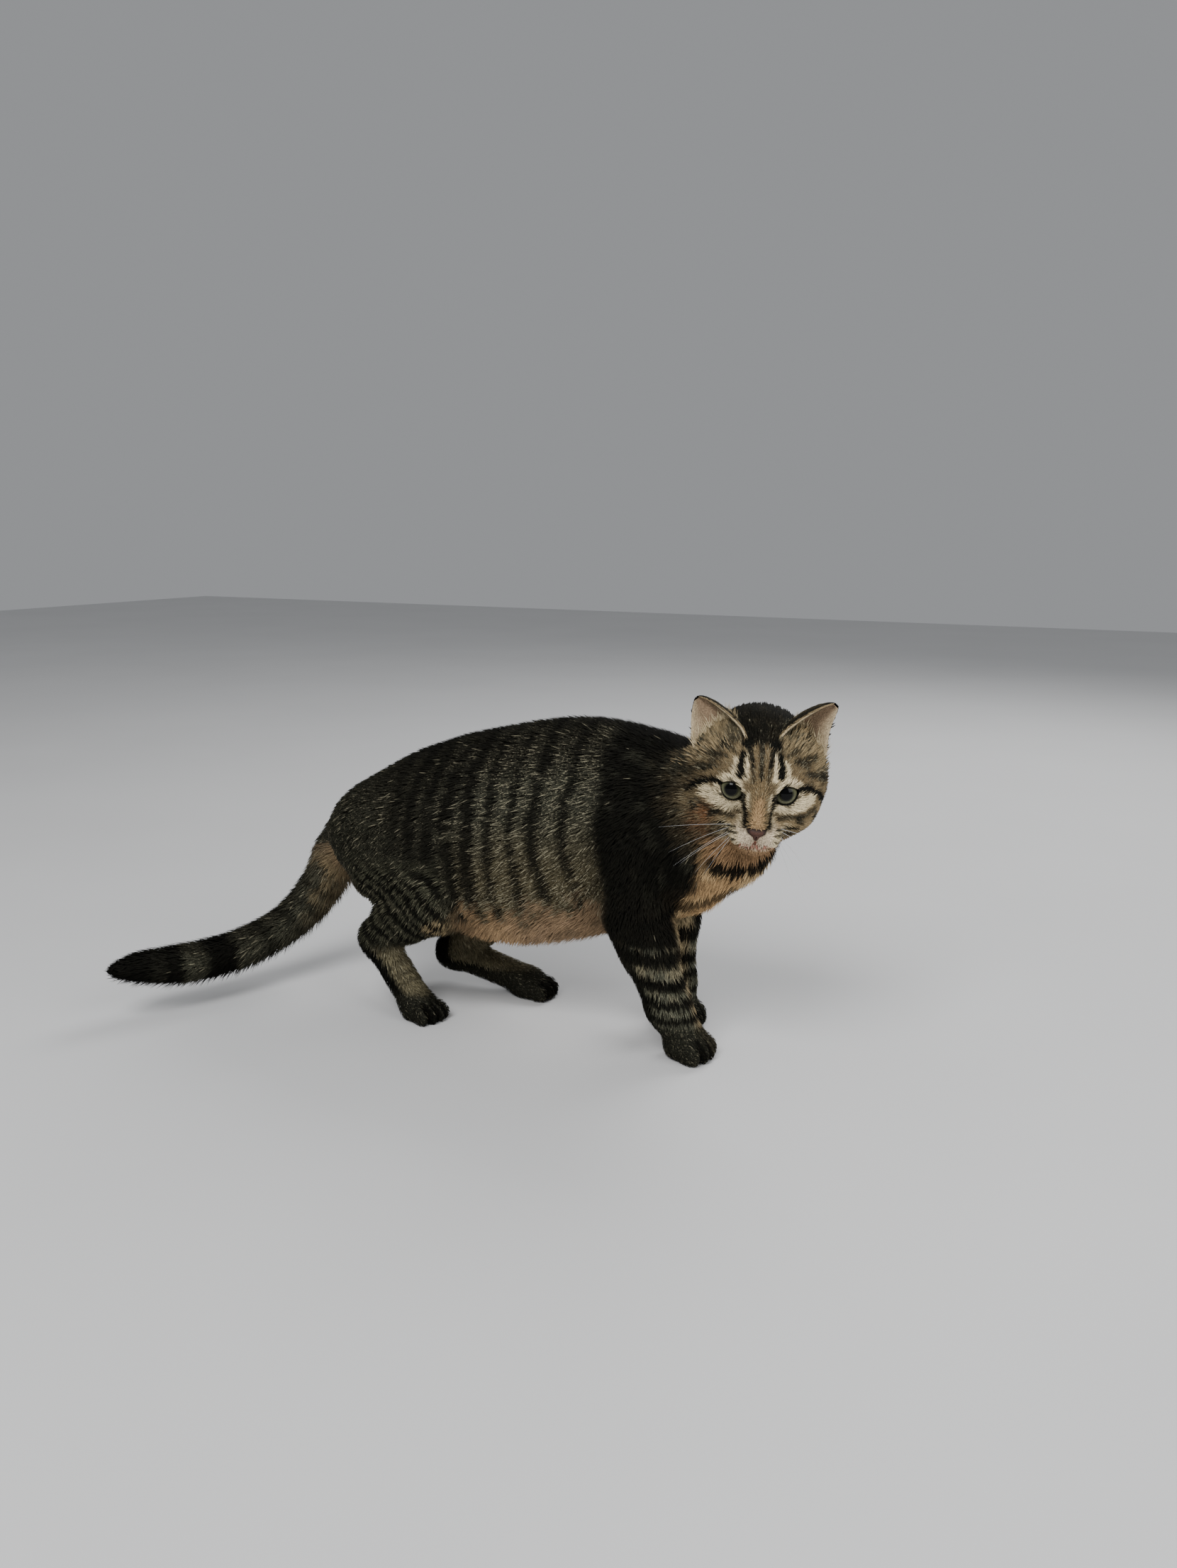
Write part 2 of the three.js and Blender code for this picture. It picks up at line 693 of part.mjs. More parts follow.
// Where the head, the tail and the trunk are parted.
const RUMP_END = -208;
const TAIL_CUTS = { tip: 0.8, middle: 0.5, base: 0.16 };
const HEAD_REGION = { at: [-22, 0, -4], radii: [72, 66, 64] };
const NECK_PLANE = { at: [143, -10, 200], normal: [1, -0.45, 0.2] };
const CHEST_PLANE = { at: [12, 0, 160], normal: [1, 0, -0.1] };
const LOIN_PLANE = { at: [-112, 0, 160], normal: [1, 0, -0.15] };
const ahead = ({ at, normal }, g) => beyond(at, normal, g);

const PIECES = [
  { name: "nose", region: (g) => within(NOSE.radii, inHead(NOSE.at), g), cell: CELL.nose },
  { name: "head", region: (g) => within(HEAD_REGION.radii, inHead(HEAD_REGION.at), g), cell: CELL.head },
  ...forelegPieces("right"),
  ...forelegPieces("left"),
  ...hindlegPieces("right"),
  ...hindlegPieces("left"),
  { name: "tail_tip", region: (g) => every(tailCut(TAIL_CUTS.tip, g), behindRump(g)), cell: CELL.tail },
  {
    name: "tail_middle",
    region: (g) => every(tailCut(TAIL_CUTS.middle, g), behindRump(g)),
    cell: CELL.tail,
  },
  { name: "tail_base", region: (g) => every(tailCut(TAIL_CUTS.base, g), behindRump(g)), cell: CELL.tail },
  { name: "neck", region: (g) => ahead(NECK_PLANE, g), cell: CELL.neck },
  { name: "chest", region: (g) => ahead(CHEST_PLANE, g), cell: CELL.trunk },
  { name: "abdomen", region: (g) => ahead(LOIN_PLANE, g), cell: CELL.trunk },
  { name: "rump", region: () => beyond([0, 0, -FAR / 2], [0, 0, 1], 0), cell: CELL.trunk },
];

// ---------------------------------------------------------------- eyes and lids
const eyeMatrix = (side) =>
  inHead([0, (SIDES[side] * EYE.apart) / 2, 0])
    .multiply(new THREE.Matrix4().makeRotationZ(THREE.MathUtils.degToRad(SIDES[side] * EYE.outward)))
    .multiply(new THREE.Matrix4().makeRotationY(THREE.MathUtils.degToRad(-EYE.upward)))
    .multiply(new THREE.Matrix4().makeRotationX(THREE.MathUtils.degToRad(SIDES[side] * EYE.slant)));
const eyeball = (side, grow) =>
  solidOf(new THREE.SphereGeometry(EYE.radius + grow, 12, 9).applyMatrix4(eyeMatrix(side)));
const LID_REACH = 40; // how far the cut between the lids runs out of the face

// The opening between the lids: an almond, its inner corner lower than the outer one.
function lidOpening(side) {
  const [w, h] = [EYE.wide / 2, EYE.high / 2];
  const almond = new THREE.Shape();
  almond.moveTo(-w, 0);
  almond.quadraticCurveTo(-w * 0.55, h, 0, h).quadraticCurveTo(w * 0.55, h, w, 0);
  almond.quadraticCurveTo(w * 0.55, -h, 0, -h).quadraticCurveTo(-w * 0.55, -h, -w, 0);
  const settings = { depth: LID_REACH, bevelEnabled: false, curveSegments: 5 };
  const cut = new THREE.ExtrudeGeometry(almond, settings);
  return solidOf(cut.rotateX(Math.PI / 2).rotateZ(Math.PI / 2).applyMatrix4(eyeMatrix(side)));
}

// ---------------------------------------------------------------- the pieces, made and parted
const SLOTS = {
  coat: { color: 0x6b6152, roughness: 0.95, metalness: 0 },
  nose: { color: 0x7a4a40, roughness: 0.6, metalness: 0 },
  eye: { color: 0x8d9a78, roughness: 0.12, metalness: 0 },
};
const cat = new THREE.Group();
cat.name = "cat";

function addPiece(name, made, slot) {
  const { vertProperties, triVerts } = made.getMesh();
  const points = Array.from({ length: vertProperties.length / 3 }, (_, i) =>
    new THREE.Vector3().fromArray(vertProperties, i * 3),
  );
  const faces = Array.from({ length: triVerts.length / 3 }, (_, i) => [
    ...triVerts.slice(i * 3, i * 3 + 3),
  ]);
  const geometry = new THREE.BufferGeometry().setFromPoints(points);
  geometry.setIndex(thinned(points, faces, FLAT).flat());
  const mesh = new THREE.Mesh(geometry, new THREE.MeshStandardMaterial(SLOTS[slot]));
  mesh.name = name;
  cat.add(mesh);
}

// The part of the body's surface that a region can hold, with room round it.
function surfaceFor(region, cell, level = 0) {
  const { min, max } = region.boundingBox();
  const box = new THREE.Box3(vec(...min), vec(...max)).expandByScalar(cell * 2).intersect(REACH);
  return surface(body, box, cell, level);
}

const largest = (made) => made.decompose().sort((a, b) => b.volume() - a.volume())[0];
const floor = beyond([0, 0, 0], [0, 0, 1], 0);
const taken = [];
for (const { name, region, cell } of PIECES) {
  const whole = every(surfaceFor(region(0), cell), region(0), floor);
  let made = taken.reduce((rest, other) => rest.subtract(other), whole);
  if (name === "head")
    for (const side of Object.keys(SIDES)) {
      made = made.add(eyeball(side, EYE.lid));
      made = made.subtract(lidOpening(side)).subtract(eyeball(side, EYE.socket));
    }
  addPiece(name, largest(made), name === "nose" ? "nose" : "coat");
  taken.push(region(GAP));
}
const headWithRoom = surfaceFor(PIECES[1].region(0), CELL.head, GAP);
for (const side of Object.keys(SIDES)) {
  addPiece(`ear_${side}`, largest(earSolid(EARS[side]).subtract(headWithRoom)), "coat");
  addPiece(`eye_${side}`, eyeball(side, 0), "eye");
}

// The origin is the middle of the whole box's underside.
const bounds = new THREE.Box3().setFromObject(cat);
const middle = bounds.getCenter(new THREE.Vector3());
cat.position.set(-middle.x, -middle.y, -bounds.min.z);

export default cat;
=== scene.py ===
"""A brown mackerel tabby cat, as a still life-size model: skin, coat, eyes, nose and whiskers.

Sizes are millimetres in the body's own frame until a mesh is made, and the row's metres after that.
In that frame +X runs to the shoulders, +Y to the cat's left and +Z up, and the floor is at Z = 0.
"""
import math

import bpy
import numpy as np
from mathutils import Matrix, Vector


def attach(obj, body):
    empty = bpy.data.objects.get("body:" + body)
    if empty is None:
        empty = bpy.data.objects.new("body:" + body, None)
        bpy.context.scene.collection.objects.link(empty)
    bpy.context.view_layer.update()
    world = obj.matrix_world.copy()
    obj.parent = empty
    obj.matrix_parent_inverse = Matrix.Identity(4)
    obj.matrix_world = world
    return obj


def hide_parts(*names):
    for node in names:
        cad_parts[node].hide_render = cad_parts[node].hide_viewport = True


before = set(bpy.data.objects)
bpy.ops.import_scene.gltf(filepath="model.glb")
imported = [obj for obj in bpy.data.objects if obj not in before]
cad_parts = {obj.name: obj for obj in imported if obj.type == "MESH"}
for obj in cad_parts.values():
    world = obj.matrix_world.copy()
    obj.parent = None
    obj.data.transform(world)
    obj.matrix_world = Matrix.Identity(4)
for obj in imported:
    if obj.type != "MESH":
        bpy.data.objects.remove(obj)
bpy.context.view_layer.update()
MM = 0.001
rng = np.random.default_rng(7)


def vec(*v):
    return np.array(v, dtype=np.float64)


def node_middle(name):
    """The mean of a node's vertices, in millimetres of the row."""
    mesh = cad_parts[name].data
    co = np.empty(len(mesh.vertices) * 3)
    mesh.vertices.foreach_get("co", co)
    points = np.unique(np.round(co.reshape(-1, 3), 6), axis=0)
    return points.mean(0) / MM


# ---------------------------------------------------------------- the body's driving sizes
TRUNK = [  # X, the middle's Y, the back's height, the belly's height, half the width
    (-214, 0, 150, 130, 15),
    (-196, 0, 170, 124, 34),
    (-165, 0, 197, 104, 50),
    (-120, 0, 222, 80, 60),
    (-70, 0, 240, 66, 65),
    (-20, 0, 252, 65, 67),
    (30, 0, 261, 75, 64),
    (75, 0, 260, 90, 58),
    (115, -2, 251, 108, 51),
    (145, -6, 234, 124, 43),
]
TRUNK_BLEND = 24
NECK = ((112, -4, 192), (168, -24, 214), 50, 43)
THROAT = ((130, -4, 156), (172, -30, 180), 39, 34)
TAIL_PATH = [
    (-188, 0, 138), (-211, 0, 120), (-223, -3, 98), (-236, -13, 74), (-250, -35, 54),
    (-269, -80, 41), (-287, -125, 41), (-302, -155, 45), (-310, -174, 47),
]
TAIL_RADII = [27, 24, 21.5, 20.3, 18.8, 18.8, 18.2, 15, 8.5]
TAIL_STEPS = 40
SIDES = {"right": -1, "left": 1}
FORELEG = {
    "right": dict(
        shoulder=(98, -31, 166), elbow=(99, -34, 118), wrist=(124, -27, 42), paw=(138, -22), turn=-8,
    ),
    "left": dict(shoulder=(96, 31, 166), elbow=(98, 34, 124), wrist=(103, 36, 40), paw=(107, 38), turn=4),
}
FORE_RADII = dict(shoulder=34, elbow=27, forearm=23.5, wrist=17.5)
HINDLEG = {
    "right": dict(
        hip=(-146, -24, 150), ham=(-143, -32, 118), stifle=(-78, -42, 104), hock=(-141, -42, 62),
        paw=(-91, -50), turn=-14,
    ),
    "left": dict(
        hip=(-144, 24, 150), ham=(-140, 32, 118), stifle=(-50, 42, 98), hock=(-112, 34, 31),
        paw=(-32, 38), turn=4,
    ),
}
HIND_RADII = dict(hip=44, ham=27, stifle=28, tendon=15, hock=15, shank=20, heel=11, foot=14.5)
TENDON_FROM = 0.3  # where the heel's tendon leaves the thigh, from ham to stifle
FORE_PAW = dict(long=42, wide=36, high=25)
HIND_PAW = dict(long=40, wide=32, high=23)
SOLE_PRESS = 1.6
# Toes and the dome behind them, as shares of the paw's sizes. The toes fan out by `fan` degrees each.
TOE = dict(ahead=0.3, arch=0.035, apart=0.235, rise=0.36, long=0.26, wide=0.155, high=0.43, fan=7)
PAW_DOME = dict(ahead=-0.06, rise=0.42, long=0.4, wide=0.44, high=0.52)
HEAD = dict(yaw=-69.5, pitch=17, roll=-4.5)
HEAD_AT = vec(202.5, -57, 229)
EYE = dict(radius=10.5, apart=35.6, wide=18.8, high=13, slant=22, outward=8, upward=10)
EARS = {
    "right": dict(
        medial=(-27, -16, 32), lateral=(-39, -49, 8), tip=(-57, -48, 38.5), bulge=(-13, 8, 7), hollow=0,
    ),
    "left": dict(
        medial=(-27, 16, 32), lateral=(-39, 48, 10), tip=(-48, 50.5, 46.5), bulge=(-16, -8, 5), hollow=0.12,
    ),
}
EAR_THICK, EAR_THIN = 3.2, 2.0  # at its root and its tip
EAR_SHOULDERS = 2.2  # the higher, the fuller its sides
EAR_ROUND = 0.45  # how much it narrows towards the tip


def turn_about(axis, degrees):
    c, s = math.cos(math.radians(degrees)), math.sin(math.radians(degrees))
    return {
        "x": np.array([[1, 0, 0], [0, c, -s], [0, s, c]]),
        "y": np.array([[c, 0, s], [0, 1, 0], [-s, 0, c]]),
        "z": np.array([[c, -s, 0], [s, c, 0], [0, 0, 1]]),
    }[axis]


HEAD_TURN = turn_about("z", HEAD["yaw"]) @ turn_about("y", HEAD["pitch"]) @ turn_about("x", HEAD["roll"])
# The row's origin is under the middle of the whole box: the eyeballs say where the body's frame is in it.
TO_ROW = (node_middle("eye_right") + node_middle("eye_left")) / 2 - HEAD_AT


def from_head(at):
    return np.asarray(at, dtype=np.float64) @ HEAD_TURN.T + HEAD_AT


def into_head(points):
    return (points - HEAD_AT) @ HEAD_TURN


# ---------------------------------------------------------------- distance functions, on arrays of points
def blend(k, *distances):
    """Smooth union: forms within k of each other flow together."""
    near = np.full_like(distances[0], 1e6)
    for d in distances:
        h = np.maximum(k - np.abs(near - d), 0) / k
        near = np.minimum(near, d) - h * h * k / 4
    return near


def carve(k, d, tool):
    """Smooth subtraction of a tool's inside from a form."""
    return -blend(k, -d, tool)


def ball(p, at, radii, turn=0):
    q = p - np.asarray(at, dtype=np.float64)
    if turn:
        q = q @ turn_about("z", turn)
    radii = np.asarray(radii, dtype=np.float64)
    k0 = np.sqrt(((q / radii) ** 2).sum(1))
    k1 = np.sqrt(((q / radii**2) ** 2).sum(1))
    return k0 * (k0 - 1) / np.maximum(k1, 1e-9)


def taper(p, a, b, r0, r1):
    a, b = np.asarray(a, dtype=np.float64), np.asarray(b, dtype=np.float64)
    along = b - a
    t = np.clip((p - a) @ along / (along @ along), 0, 1)
    return np.linalg.norm(p - a - t[:, None] * along, axis=1) - (r0 + (r1 - r0) * t)


def catmull(points, t):
    """A centripetal Catmull-Rom curve through the points, at shares t of its run."""
    points = np.asarray(points, dtype=np.float64)
    last = len(points) - 1
    i = np.clip((t * last).astype(int), 0, last - 1)
    w = (t * last - i)[:, None]
    first = points[0] + (points[0] - points[1])
    end = points[-1] + (points[-1] - points[-2])
    ring = np.vstack([first, points, end])
    p0, p1, p2, p3 = ring[i], ring[i + 1], ring[i + 2], ring[i + 3]
    g0, g1, g2 = (
        np.maximum(np.linalg.norm(b - a, axis=1, keepdims=True) ** 0.5, 1e-4)
        for a, b in ((p0, p1), (p1, p2), (p2, p3))
    )
    m1 = ((p1 - p0) / g0 - (p2 - p0) / (g0 + g1) + (p2 - p1) / g1) * g1
    m2 = ((p2 - p1) / g1 - (p3 - p1) / (g1 + g2) + (p3 - p2) / g2) * g1
    return (
        (2 * w**3 - 3 * w**2 + 1) * p1 + (w**3 - 2 * w**2 + w) * m1
        + (-2 * w**3 + 3 * w**2) * p2 + (w**3 - w**2) * m2
    )


TAIL_RUN = np.linspace(0, 1, TAIL_STEPS + 1)
TAIL_POINTS = catmull(TAIL_PATH, TAIL_RUN)
TAIL_WIDTHS = np.interp(TAIL_RUN, np.linspace(0, 1, len(TAIL_RADII)), TAIL_RADII)


def tail_form(p):
    near = np.full(len(p), 1e6)
    for i in range(TAIL_STEPS):
        link = taper(p, TAIL_POINTS[i], TAIL_POINTS[i + 1], TAIL_WIDTHS[i], TAIL_WIDTHS[i + 1])
        near = np.minimum(near, link)
    return near


def trunk_form(p):
    x = np.clip(p[:, 0], TRUNK[0][0], TRUNK[-1][0])
    share = np.interp(x, [s[0] for s in TRUNK], np.linspace(0, 1, len(TRUNK)))
    middle = catmull([(y, (top + low) / 2, (top - low) / 2) for _, y, top, low, _ in TRUNK], share)
    half = catmull([(h, 0, 0) for *_, h in TRUNK], share)[:, 0]
    dy, dz = p[:, 1] - middle[:, 0], p[:, 2] - middle[:, 1]
    reach = np.hypot(dy, dz)
    oval = np.hypot(dy / half, dz / middle[:, 2])
    side = reach - reach / np.maximum(oval, 1e-6)
    past = p[:, 0] - x
    return np.where(past == 0, side, np.hypot(np.maximum(side, 0), past))


def face_forms(q):
    """The head in its own frame: +X out of the face, +Y to the cat's left, +Z to the crown."""
    def pair(x, y, z, radii):
        return [ball(q, (x, y, z), radii), ball(q, (x, -y, z), radii)]

    skull = blend(
        16,
        ball(q, (-50, 0, 2), (42, 41, 38)),
        ball(q, (-12, 0, 6), (22, 28, 19)),
        *pair(-38, 27, -9, (28, 26, 30)),
        *pair(-12, 25, -18, (22, 19, 19.5)),
        *pair(-3, 18, 2, (12, 13.5, 12.5)),
    )
    muzzle = blend(
        10,
        taper(q, (0, 0, 6), (24, 0, -14), 12.5, 8.5),
        *pair(17, 8, -26, (15, 11, 10.5)),
        ball(q, (12, 0, -36), (15, 11, 8)),
        ball(q, (-14, 0, -34), (30, 26, 15)),
    )
    return blend(14, skull, muzzle)


def paw_form(p, paw, turn, size):
    heading = math.radians(turn)
    long, wide, high = size["long"], size["wide"], size["high"]

    def place(forward, sideways, z):
        return (
            paw[0] + forward * math.cos(heading) - sideways * math.sin(heading),
            paw[1] + forward * math.sin(heading) + sideways * math.cos(heading),
            z,
        )

    toes = [
        ball(
            p,
            place(
                long * (TOE["ahead"] - TOE["arch"] * step * step),
                step * wide * TOE["apart"],
                high * TOE["rise"] - SOLE_PRESS,
            ),
            (long * TOE["long"], wide * TOE["wide"], high * TOE["high"]),
            turn + step * TOE["fan"],
        )
        for step in (-1.5, -0.5, 0.5, 1.5)
    ]
    dome = ball(
        p,
        place(long * PAW_DOME["ahead"], 0, high * PAW_DOME["rise"] - SOLE_PRESS),
        (long * PAW_DOME["long"], wide * PAW_DOME["wide"], high * PAW_DOME["high"]),
        turn,
    )
    return blend(3, blend(1.5, *toes), dome)


def between(a, b, t):
    return tuple(u + (v - u) * t for u, v in zip(a, b))


def foreleg_form(p, leg):
    radii = FORE_RADII
    middle = between(leg["elbow"], leg["wrist"], 0.35)
    paw_top = (*leg["paw"], FORE_PAW["high"] * 0.6)
    return blend(
        10,
        taper(p, leg["shoulder"], leg["elbow"], radii["shoulder"], radii["elbow"]),
        taper(p, leg["elbow"], middle, radii["elbow"], radii["forearm"]),
        taper(p, middle, leg["wrist"], radii["forearm"], radii["wrist"]),
        taper(p, leg["wrist"], paw_top, radii["wrist"], radii["wrist"] * 0.9),
        paw_form(p, leg["paw"], leg["turn"], FORE_PAW),
    )


def hindleg_form(p, leg):
    radii = HIND_RADII
    calf = between(leg["stifle"], leg["hock"], 0.5)
    tendon = between(leg["ham"], leg["stifle"], TENDON_FROM)
    paw_top = (leg["paw"][0] - 6, leg["paw"][1], HIND_PAW["high"] * 0.55)
    return blend(
        12,
        taper(p, leg["hip"], leg["stifle"], radii["hip"], radii["stifle"]),
        taper(p, leg["ham"], leg["hip"], radii["ham"], radii["hip"]),
        taper(p, leg["stifle"], calf, radii["stifle"], radii["shank"]),
        taper(p, calf, leg["hock"], radii["shank"], radii["hock"]),
        taper(p, tendon, leg["hock"], radii["tendon"], radii["heel"]),
        taper(p, leg["hock"], paw_top, radii["hock"], radii["foot"]),
        paw_form(p, leg["paw"], leg["turn"], HIND_PAW),
    )


FAR_OFF = 90.0  # the distance given to a part that is nowhere near a point
PARTS = {  # each part's form, and a box that holds it
    "trunk": (trunk_form, (-260, -100, 40), (200, 100, 300)),
    "neck": (lambda p: taper(p, *NECK), (60, -90, 120), (240, 60, 290)),
    "throat": (lambda p: taper(p, *THROAT), (80, -90, 100), (230, 60, 240)),
    "tail": (tail_form, (-350, -215, 0), (-150, 50, 190)),
    "head": (lambda p: face_forms(into_head(p)), (100, -150, 140), (290, 50, 320)),
    "fore_right": (lambda p: foreleg_form(p, FORELEG["right"]), (50, -90, -20), (180, 30, 220)),
    "fore_left": (lambda p: foreleg_form(p, FORELEG["left"]), (40, -30, -20), (160, 90, 220)),
    "hind_right": (lambda p: hindleg_form(p, HINDLEG["right"]), (-210, -110, -20), (-30, 40, 220)),
    "hind_left": (lambda p: hindleg_form(p, HINDLEG["left"]), (-210, -40, -20), (10, 110, 220)),
}
PART_NAMES = list(PARTS)
ON_TRUNK, ON_NECK, ON_THROAT, ON_TAIL, ON_HEAD = range(5)  # the parts' columns, with the legs after them
LEG_COLUMNS = range(5, len(PARTS))
LEG_NAMES = ("foreleg_right", "foreleg_left", "hindleg_right", "hindleg_left")
LEGS = (FORELEG["right"], FORELEG["left"], HINDLEG["right"], HINDLEG["left"])
BODY_BLEND = 8
SHARE_FADE = 7.0  # over how far one part's say gives way to the next


def part_distances(p):
    """Each part's distance at each point, as columns in the order of PART_NAMES."""
    out = np.full((len(p), len(PARTS)), FAR_OFF)
    for column, (form, low, high) in enumerate(PARTS.values()):
        near = ((p > vec(*low) - 25) & (p < vec(*high) + 25)).all(1)
        if near.any():
            out[near, column] = form(p[near])
    return out


def coat_surface(d):
    """The tips of the coat: all the parts in one smooth form."""
    core = blend(TRUNK_BLEND, d[:, 0], d[:, 1], d[:, 2])
    return blend(BODY_BLEND, core, *(d[:, column] for column in range(ON_TAIL, len(PARTS))))


def surface(p):
    return coat_surface(part_distances(p))


def ramp(low, high, x):
    t = np.clip((x - low) / (high - low), 0, 1)
    return t * t * (3 - 2 * t)


def weights(d):
    """How much each part has to say about each point."""
    w = np.exp(-np.maximum(d - d.min(1, keepdims=True), 0) / SHARE_FADE)
    return w / w.sum(1, keepdims=True)


# How deep the coat is on each part, and less on the face and feet.
DEPTH = dict(
    trunk=5.5, neck=6, throat=6.5, tail=5.5, head=4.2,
    fore_right=3.8, fore_left=3.8, hind_right=4.2, hind_left=4.2,
)


def coat_depth(p, d, w=None):
    w = weights(d) if w is None else w
    depth = w @ np.array([DEPTH[name] for name in PART_NAMES])
    legs = w[:, LEG_COLUMNS].sum(1)
    depth -= legs * 1.6 * ramp(70, 20, p[:, 2])
    belly = w[:, ON_TRUNK] * ramp(105, 75, p[:, 2])
    q = into_head(p)
    face = w[:, ON_HEAD] * ramp(-38, 8, q[:, 0])
    return depth + 1.6 * belly - 2.6 * face


def hashed(i, j, k, seed):
    n = (i * 374761393 + j * 668265263 + k * 2147483647 + seed * 974634777) & 0xFFFFFFFF
    n = ((n ^ (n >> 13)) * 1274126177) & 0xFFFFFFFF
    return ((n ^ (n >> 16)) & 0xFFFF) / 32767.5 - 1


def noise(p, size, seed=0):
    """Smooth value noise from -1 to 1 with features about `size` across."""
    g = p / size
    base = np.floor(g).astype(np.int64)
    f = g - base
    f = f * f * (3 - 2 * f)
    total = 0
    for corner in range(8):
        o = [(corner >> a) & 1 for a in range(3)]
        share = np.prod([f[:, a] if o[a] else 1 - f[:, a] for a in range(3)], axis=0)
        total = total + share * hashed(*(base[:, a] + o[a] for a in range(3)), seed)
    return total


# ---------------------------------------------------------------- the face's details, in the head's frame
def eye_turn(side):
    s = SIDES[side]
    look = turn_about("z", s * EYE["outward"]) @ turn_about("y", -EYE["upward"])
    return look @ turn_about("x", s * EYE["slant"])


def eye_middle(side):
    return vec(0, SIDES[side] * EYE["apart"] / 2, 0)


def into_eye(q, side):
    """The eye's own frame: X out of the pupil, Y to the outer corner, Z up."""
    e = (q - eye_middle(side)) @ eye_turn(side)
    return e * vec(1, SIDES[side], 1)


def lid_gap(e):
    """How far a direction seen from in front is outside the opening between the lids."""
    half = EYE["wide"] / 2
    y = e[:, 1]
    inner = np.clip(-y / half, 0, 1.3)
    upper = 5.8 * (1 - np.abs(y / half) ** 2.3) - 1.0 * inner**3
    lower = -6.1 * (1 - np.abs(y / half) ** 2.1) - 1.4 * inner**3
    return np.maximum(e[:, 2] - upper, lower - e[:, 2])


LID = 1.1  # how thick the lids are
NOSE_TIP = vec(32.0, 0, -19.5)


def nose_form(q):
    """The nose leather: a pad, wide above and narrow below, with two nostrils and a groove between them."""
    at = q - NOSE_TIP
    side = np.abs(at[:, 1])
    mirrored = np.column_stack([at[:, 0], side, at[:, 2]])
    pad = blend(
        2.5,
        ball(mirrored, (-4, 0, 1.5), (5.5, 4.5, 3.4)),
        ball(mirrored, (-5, 3.6, 1.6), (5, 3.2, 2.9)),
        ball(mirrored, (-3.8, 0, -2), (4.4, 2.0, 3.6)),
    )
    nostril = taper(mirrored, (1.2, 2.2, -0.3), (-2.2, 6.2, 0.9), 1.0, 0.8)
    slot = np.maximum(side - 0.28, -(at[:, 0] + 1.0))
    slot = np.maximum(slot, at[:, 2] + 0.4)
    return carve(0.5, carve(0.8, pad, nostril), slot)


def mouth_distance(q):
    """Distance from the groove below the nose and the two lips that curve out from it."""
    side = np.abs(q[:, 1])
    z = q[:, 2]
    groove = np.hypot(side, np.maximum(np.maximum(z + 23.5, -28.6 - z), 0))
    lip = -28.8 - 2.0 * np.sin(np.clip(side / 7, 0, 1) * math.pi) ** 2 - 2.5 * ramp(7, 15, side)
    curve = np.hypot(z - lip, np.maximum(side - 15, 0))
    return np.minimum(groove, curve)


def face_detail(q, d):
    """The skin's own folds: lids round the eyeballs, mouth, nose bed and whisker pads."""
    front = q[:, 0] > 2
    pads = np.exp(-((np.abs(q[:, 1]) - 8.5) ** 2) / 40 - (q[:, 2] + 24) ** 2 / 32)
    d = d - 0.9 * pads * front
    cut = mouth_distance(q)
    d = d + np.where(q[:, 0] > 8, 1.3 * np.exp(-((cut / 0.9) ** 2)), 0)
    d = carve(1.2, d, nose_form(q) + 0.6)
    for side in SIDES:
        e = into_eye(q, side)
        r = np.linalg.norm(e, axis=1)
        shell = r - (EYE["radius"] + LID)
        d = blend(2.2, d, np.where(e[:, 0] > -3, shell, 9))
        opening = np.maximum(lid_gap(e), -e[:, 0])
        d = carve(0.7, d, opening)
        d = np.maximum(d, EYE["radius"] + 0.08 - r)
    return d


def skin_surface(p):
    d = part_distances(p)
    w = weights(d)
    out = coat_surface(d) + coat_depth(p, d, w)
    near_face = (w[:, ON_HEAD] > 0.3).nonzero()[0]
    if len(near_face):
        q = into_head(p[near_face])
        detailed = face_detail(q, out[near_face])
        share = ramp(-34, -18, q[:, 0])
        out[near_face] = out[near_face] * (1 - share) + detailed * share
    return np.maximum(out, 0.15 - p[:, 2])


def slope(form, p, step=0.15):
    out = np.empty_like(p)
    for axis in range(3):
        shift = np.zeros(3)
        shift[axis] = step
        out[:, axis] = (form(p + shift) - form(p - shift)) / (2 * step)
    return out


def settle(form, p, rounds=3, most=1.5):
    """Moves points onto the form's surface."""
    p = p.copy()
    for _ in range(rounds):
        g = slope(form, p)
        steep = np.maximum((g * g).sum(1), 0.05)
        move = -(form(p) / steep)[:, None] * g
        length = np.linalg.norm(move, axis=1, keepdims=True)
        p += move * np.minimum(1, most / np.maximum(length, 1e-9))
    return p


# ---------------------------------------------------------------- from distance to mesh
COARSE = 4  # grid lines between those of the first, rough look


def spaced(low, high, fine_low, fine_high, cell, fine):
    """Grid lines from low to high, closer together between the two fine ends."""
    before = np.arange(fine_low, low - cell, -cell)[:0:-1]
    dense = np.arange(fine_low, fine_high, fine)
    after = np.arange(dense[-1] + cell, high + 2 * cell, cell)
    lines = np.concatenate([before, dense, after])
    spare = (len(lines) - 1) % COARSE
    if not spare:
        return lines
    return np.concatenate([lines, lines[-1] + cell * np.arange(1, COARSE - spare + 1)])


def gridded(form, axes):
    """A form's values at the grid's points, worked out in full only near its surface."""
    rough_axes = [line[::COARSE] for line in axes]
    rough = form(np.stack(np.meshgrid(*rough_axes, indexing="ij"), -1).reshape(-1, 3))
    values = rough.reshape([len(line) for line in rough_axes])
    for axis, line in enumerate(axes):
        at = np.arange(len(line)) / COARSE
        i = np.minimum(at.astype(int), values.shape[axis] - 2)
        w = (at - i).reshape([-1 if a == axis else 1 for a in range(3)])
        values = np.take(values, i, axis) * (1 - w) + np.take(values, i + 1, axis) * w
    near = np.argwhere(np.abs(values) < COARSE * max(np.diff(line).max() for line in axes))
    values[tuple(near.T)] = form(np.column_stack([line[near[:, a]] for a, line in enumerate(axes)]))
    return values


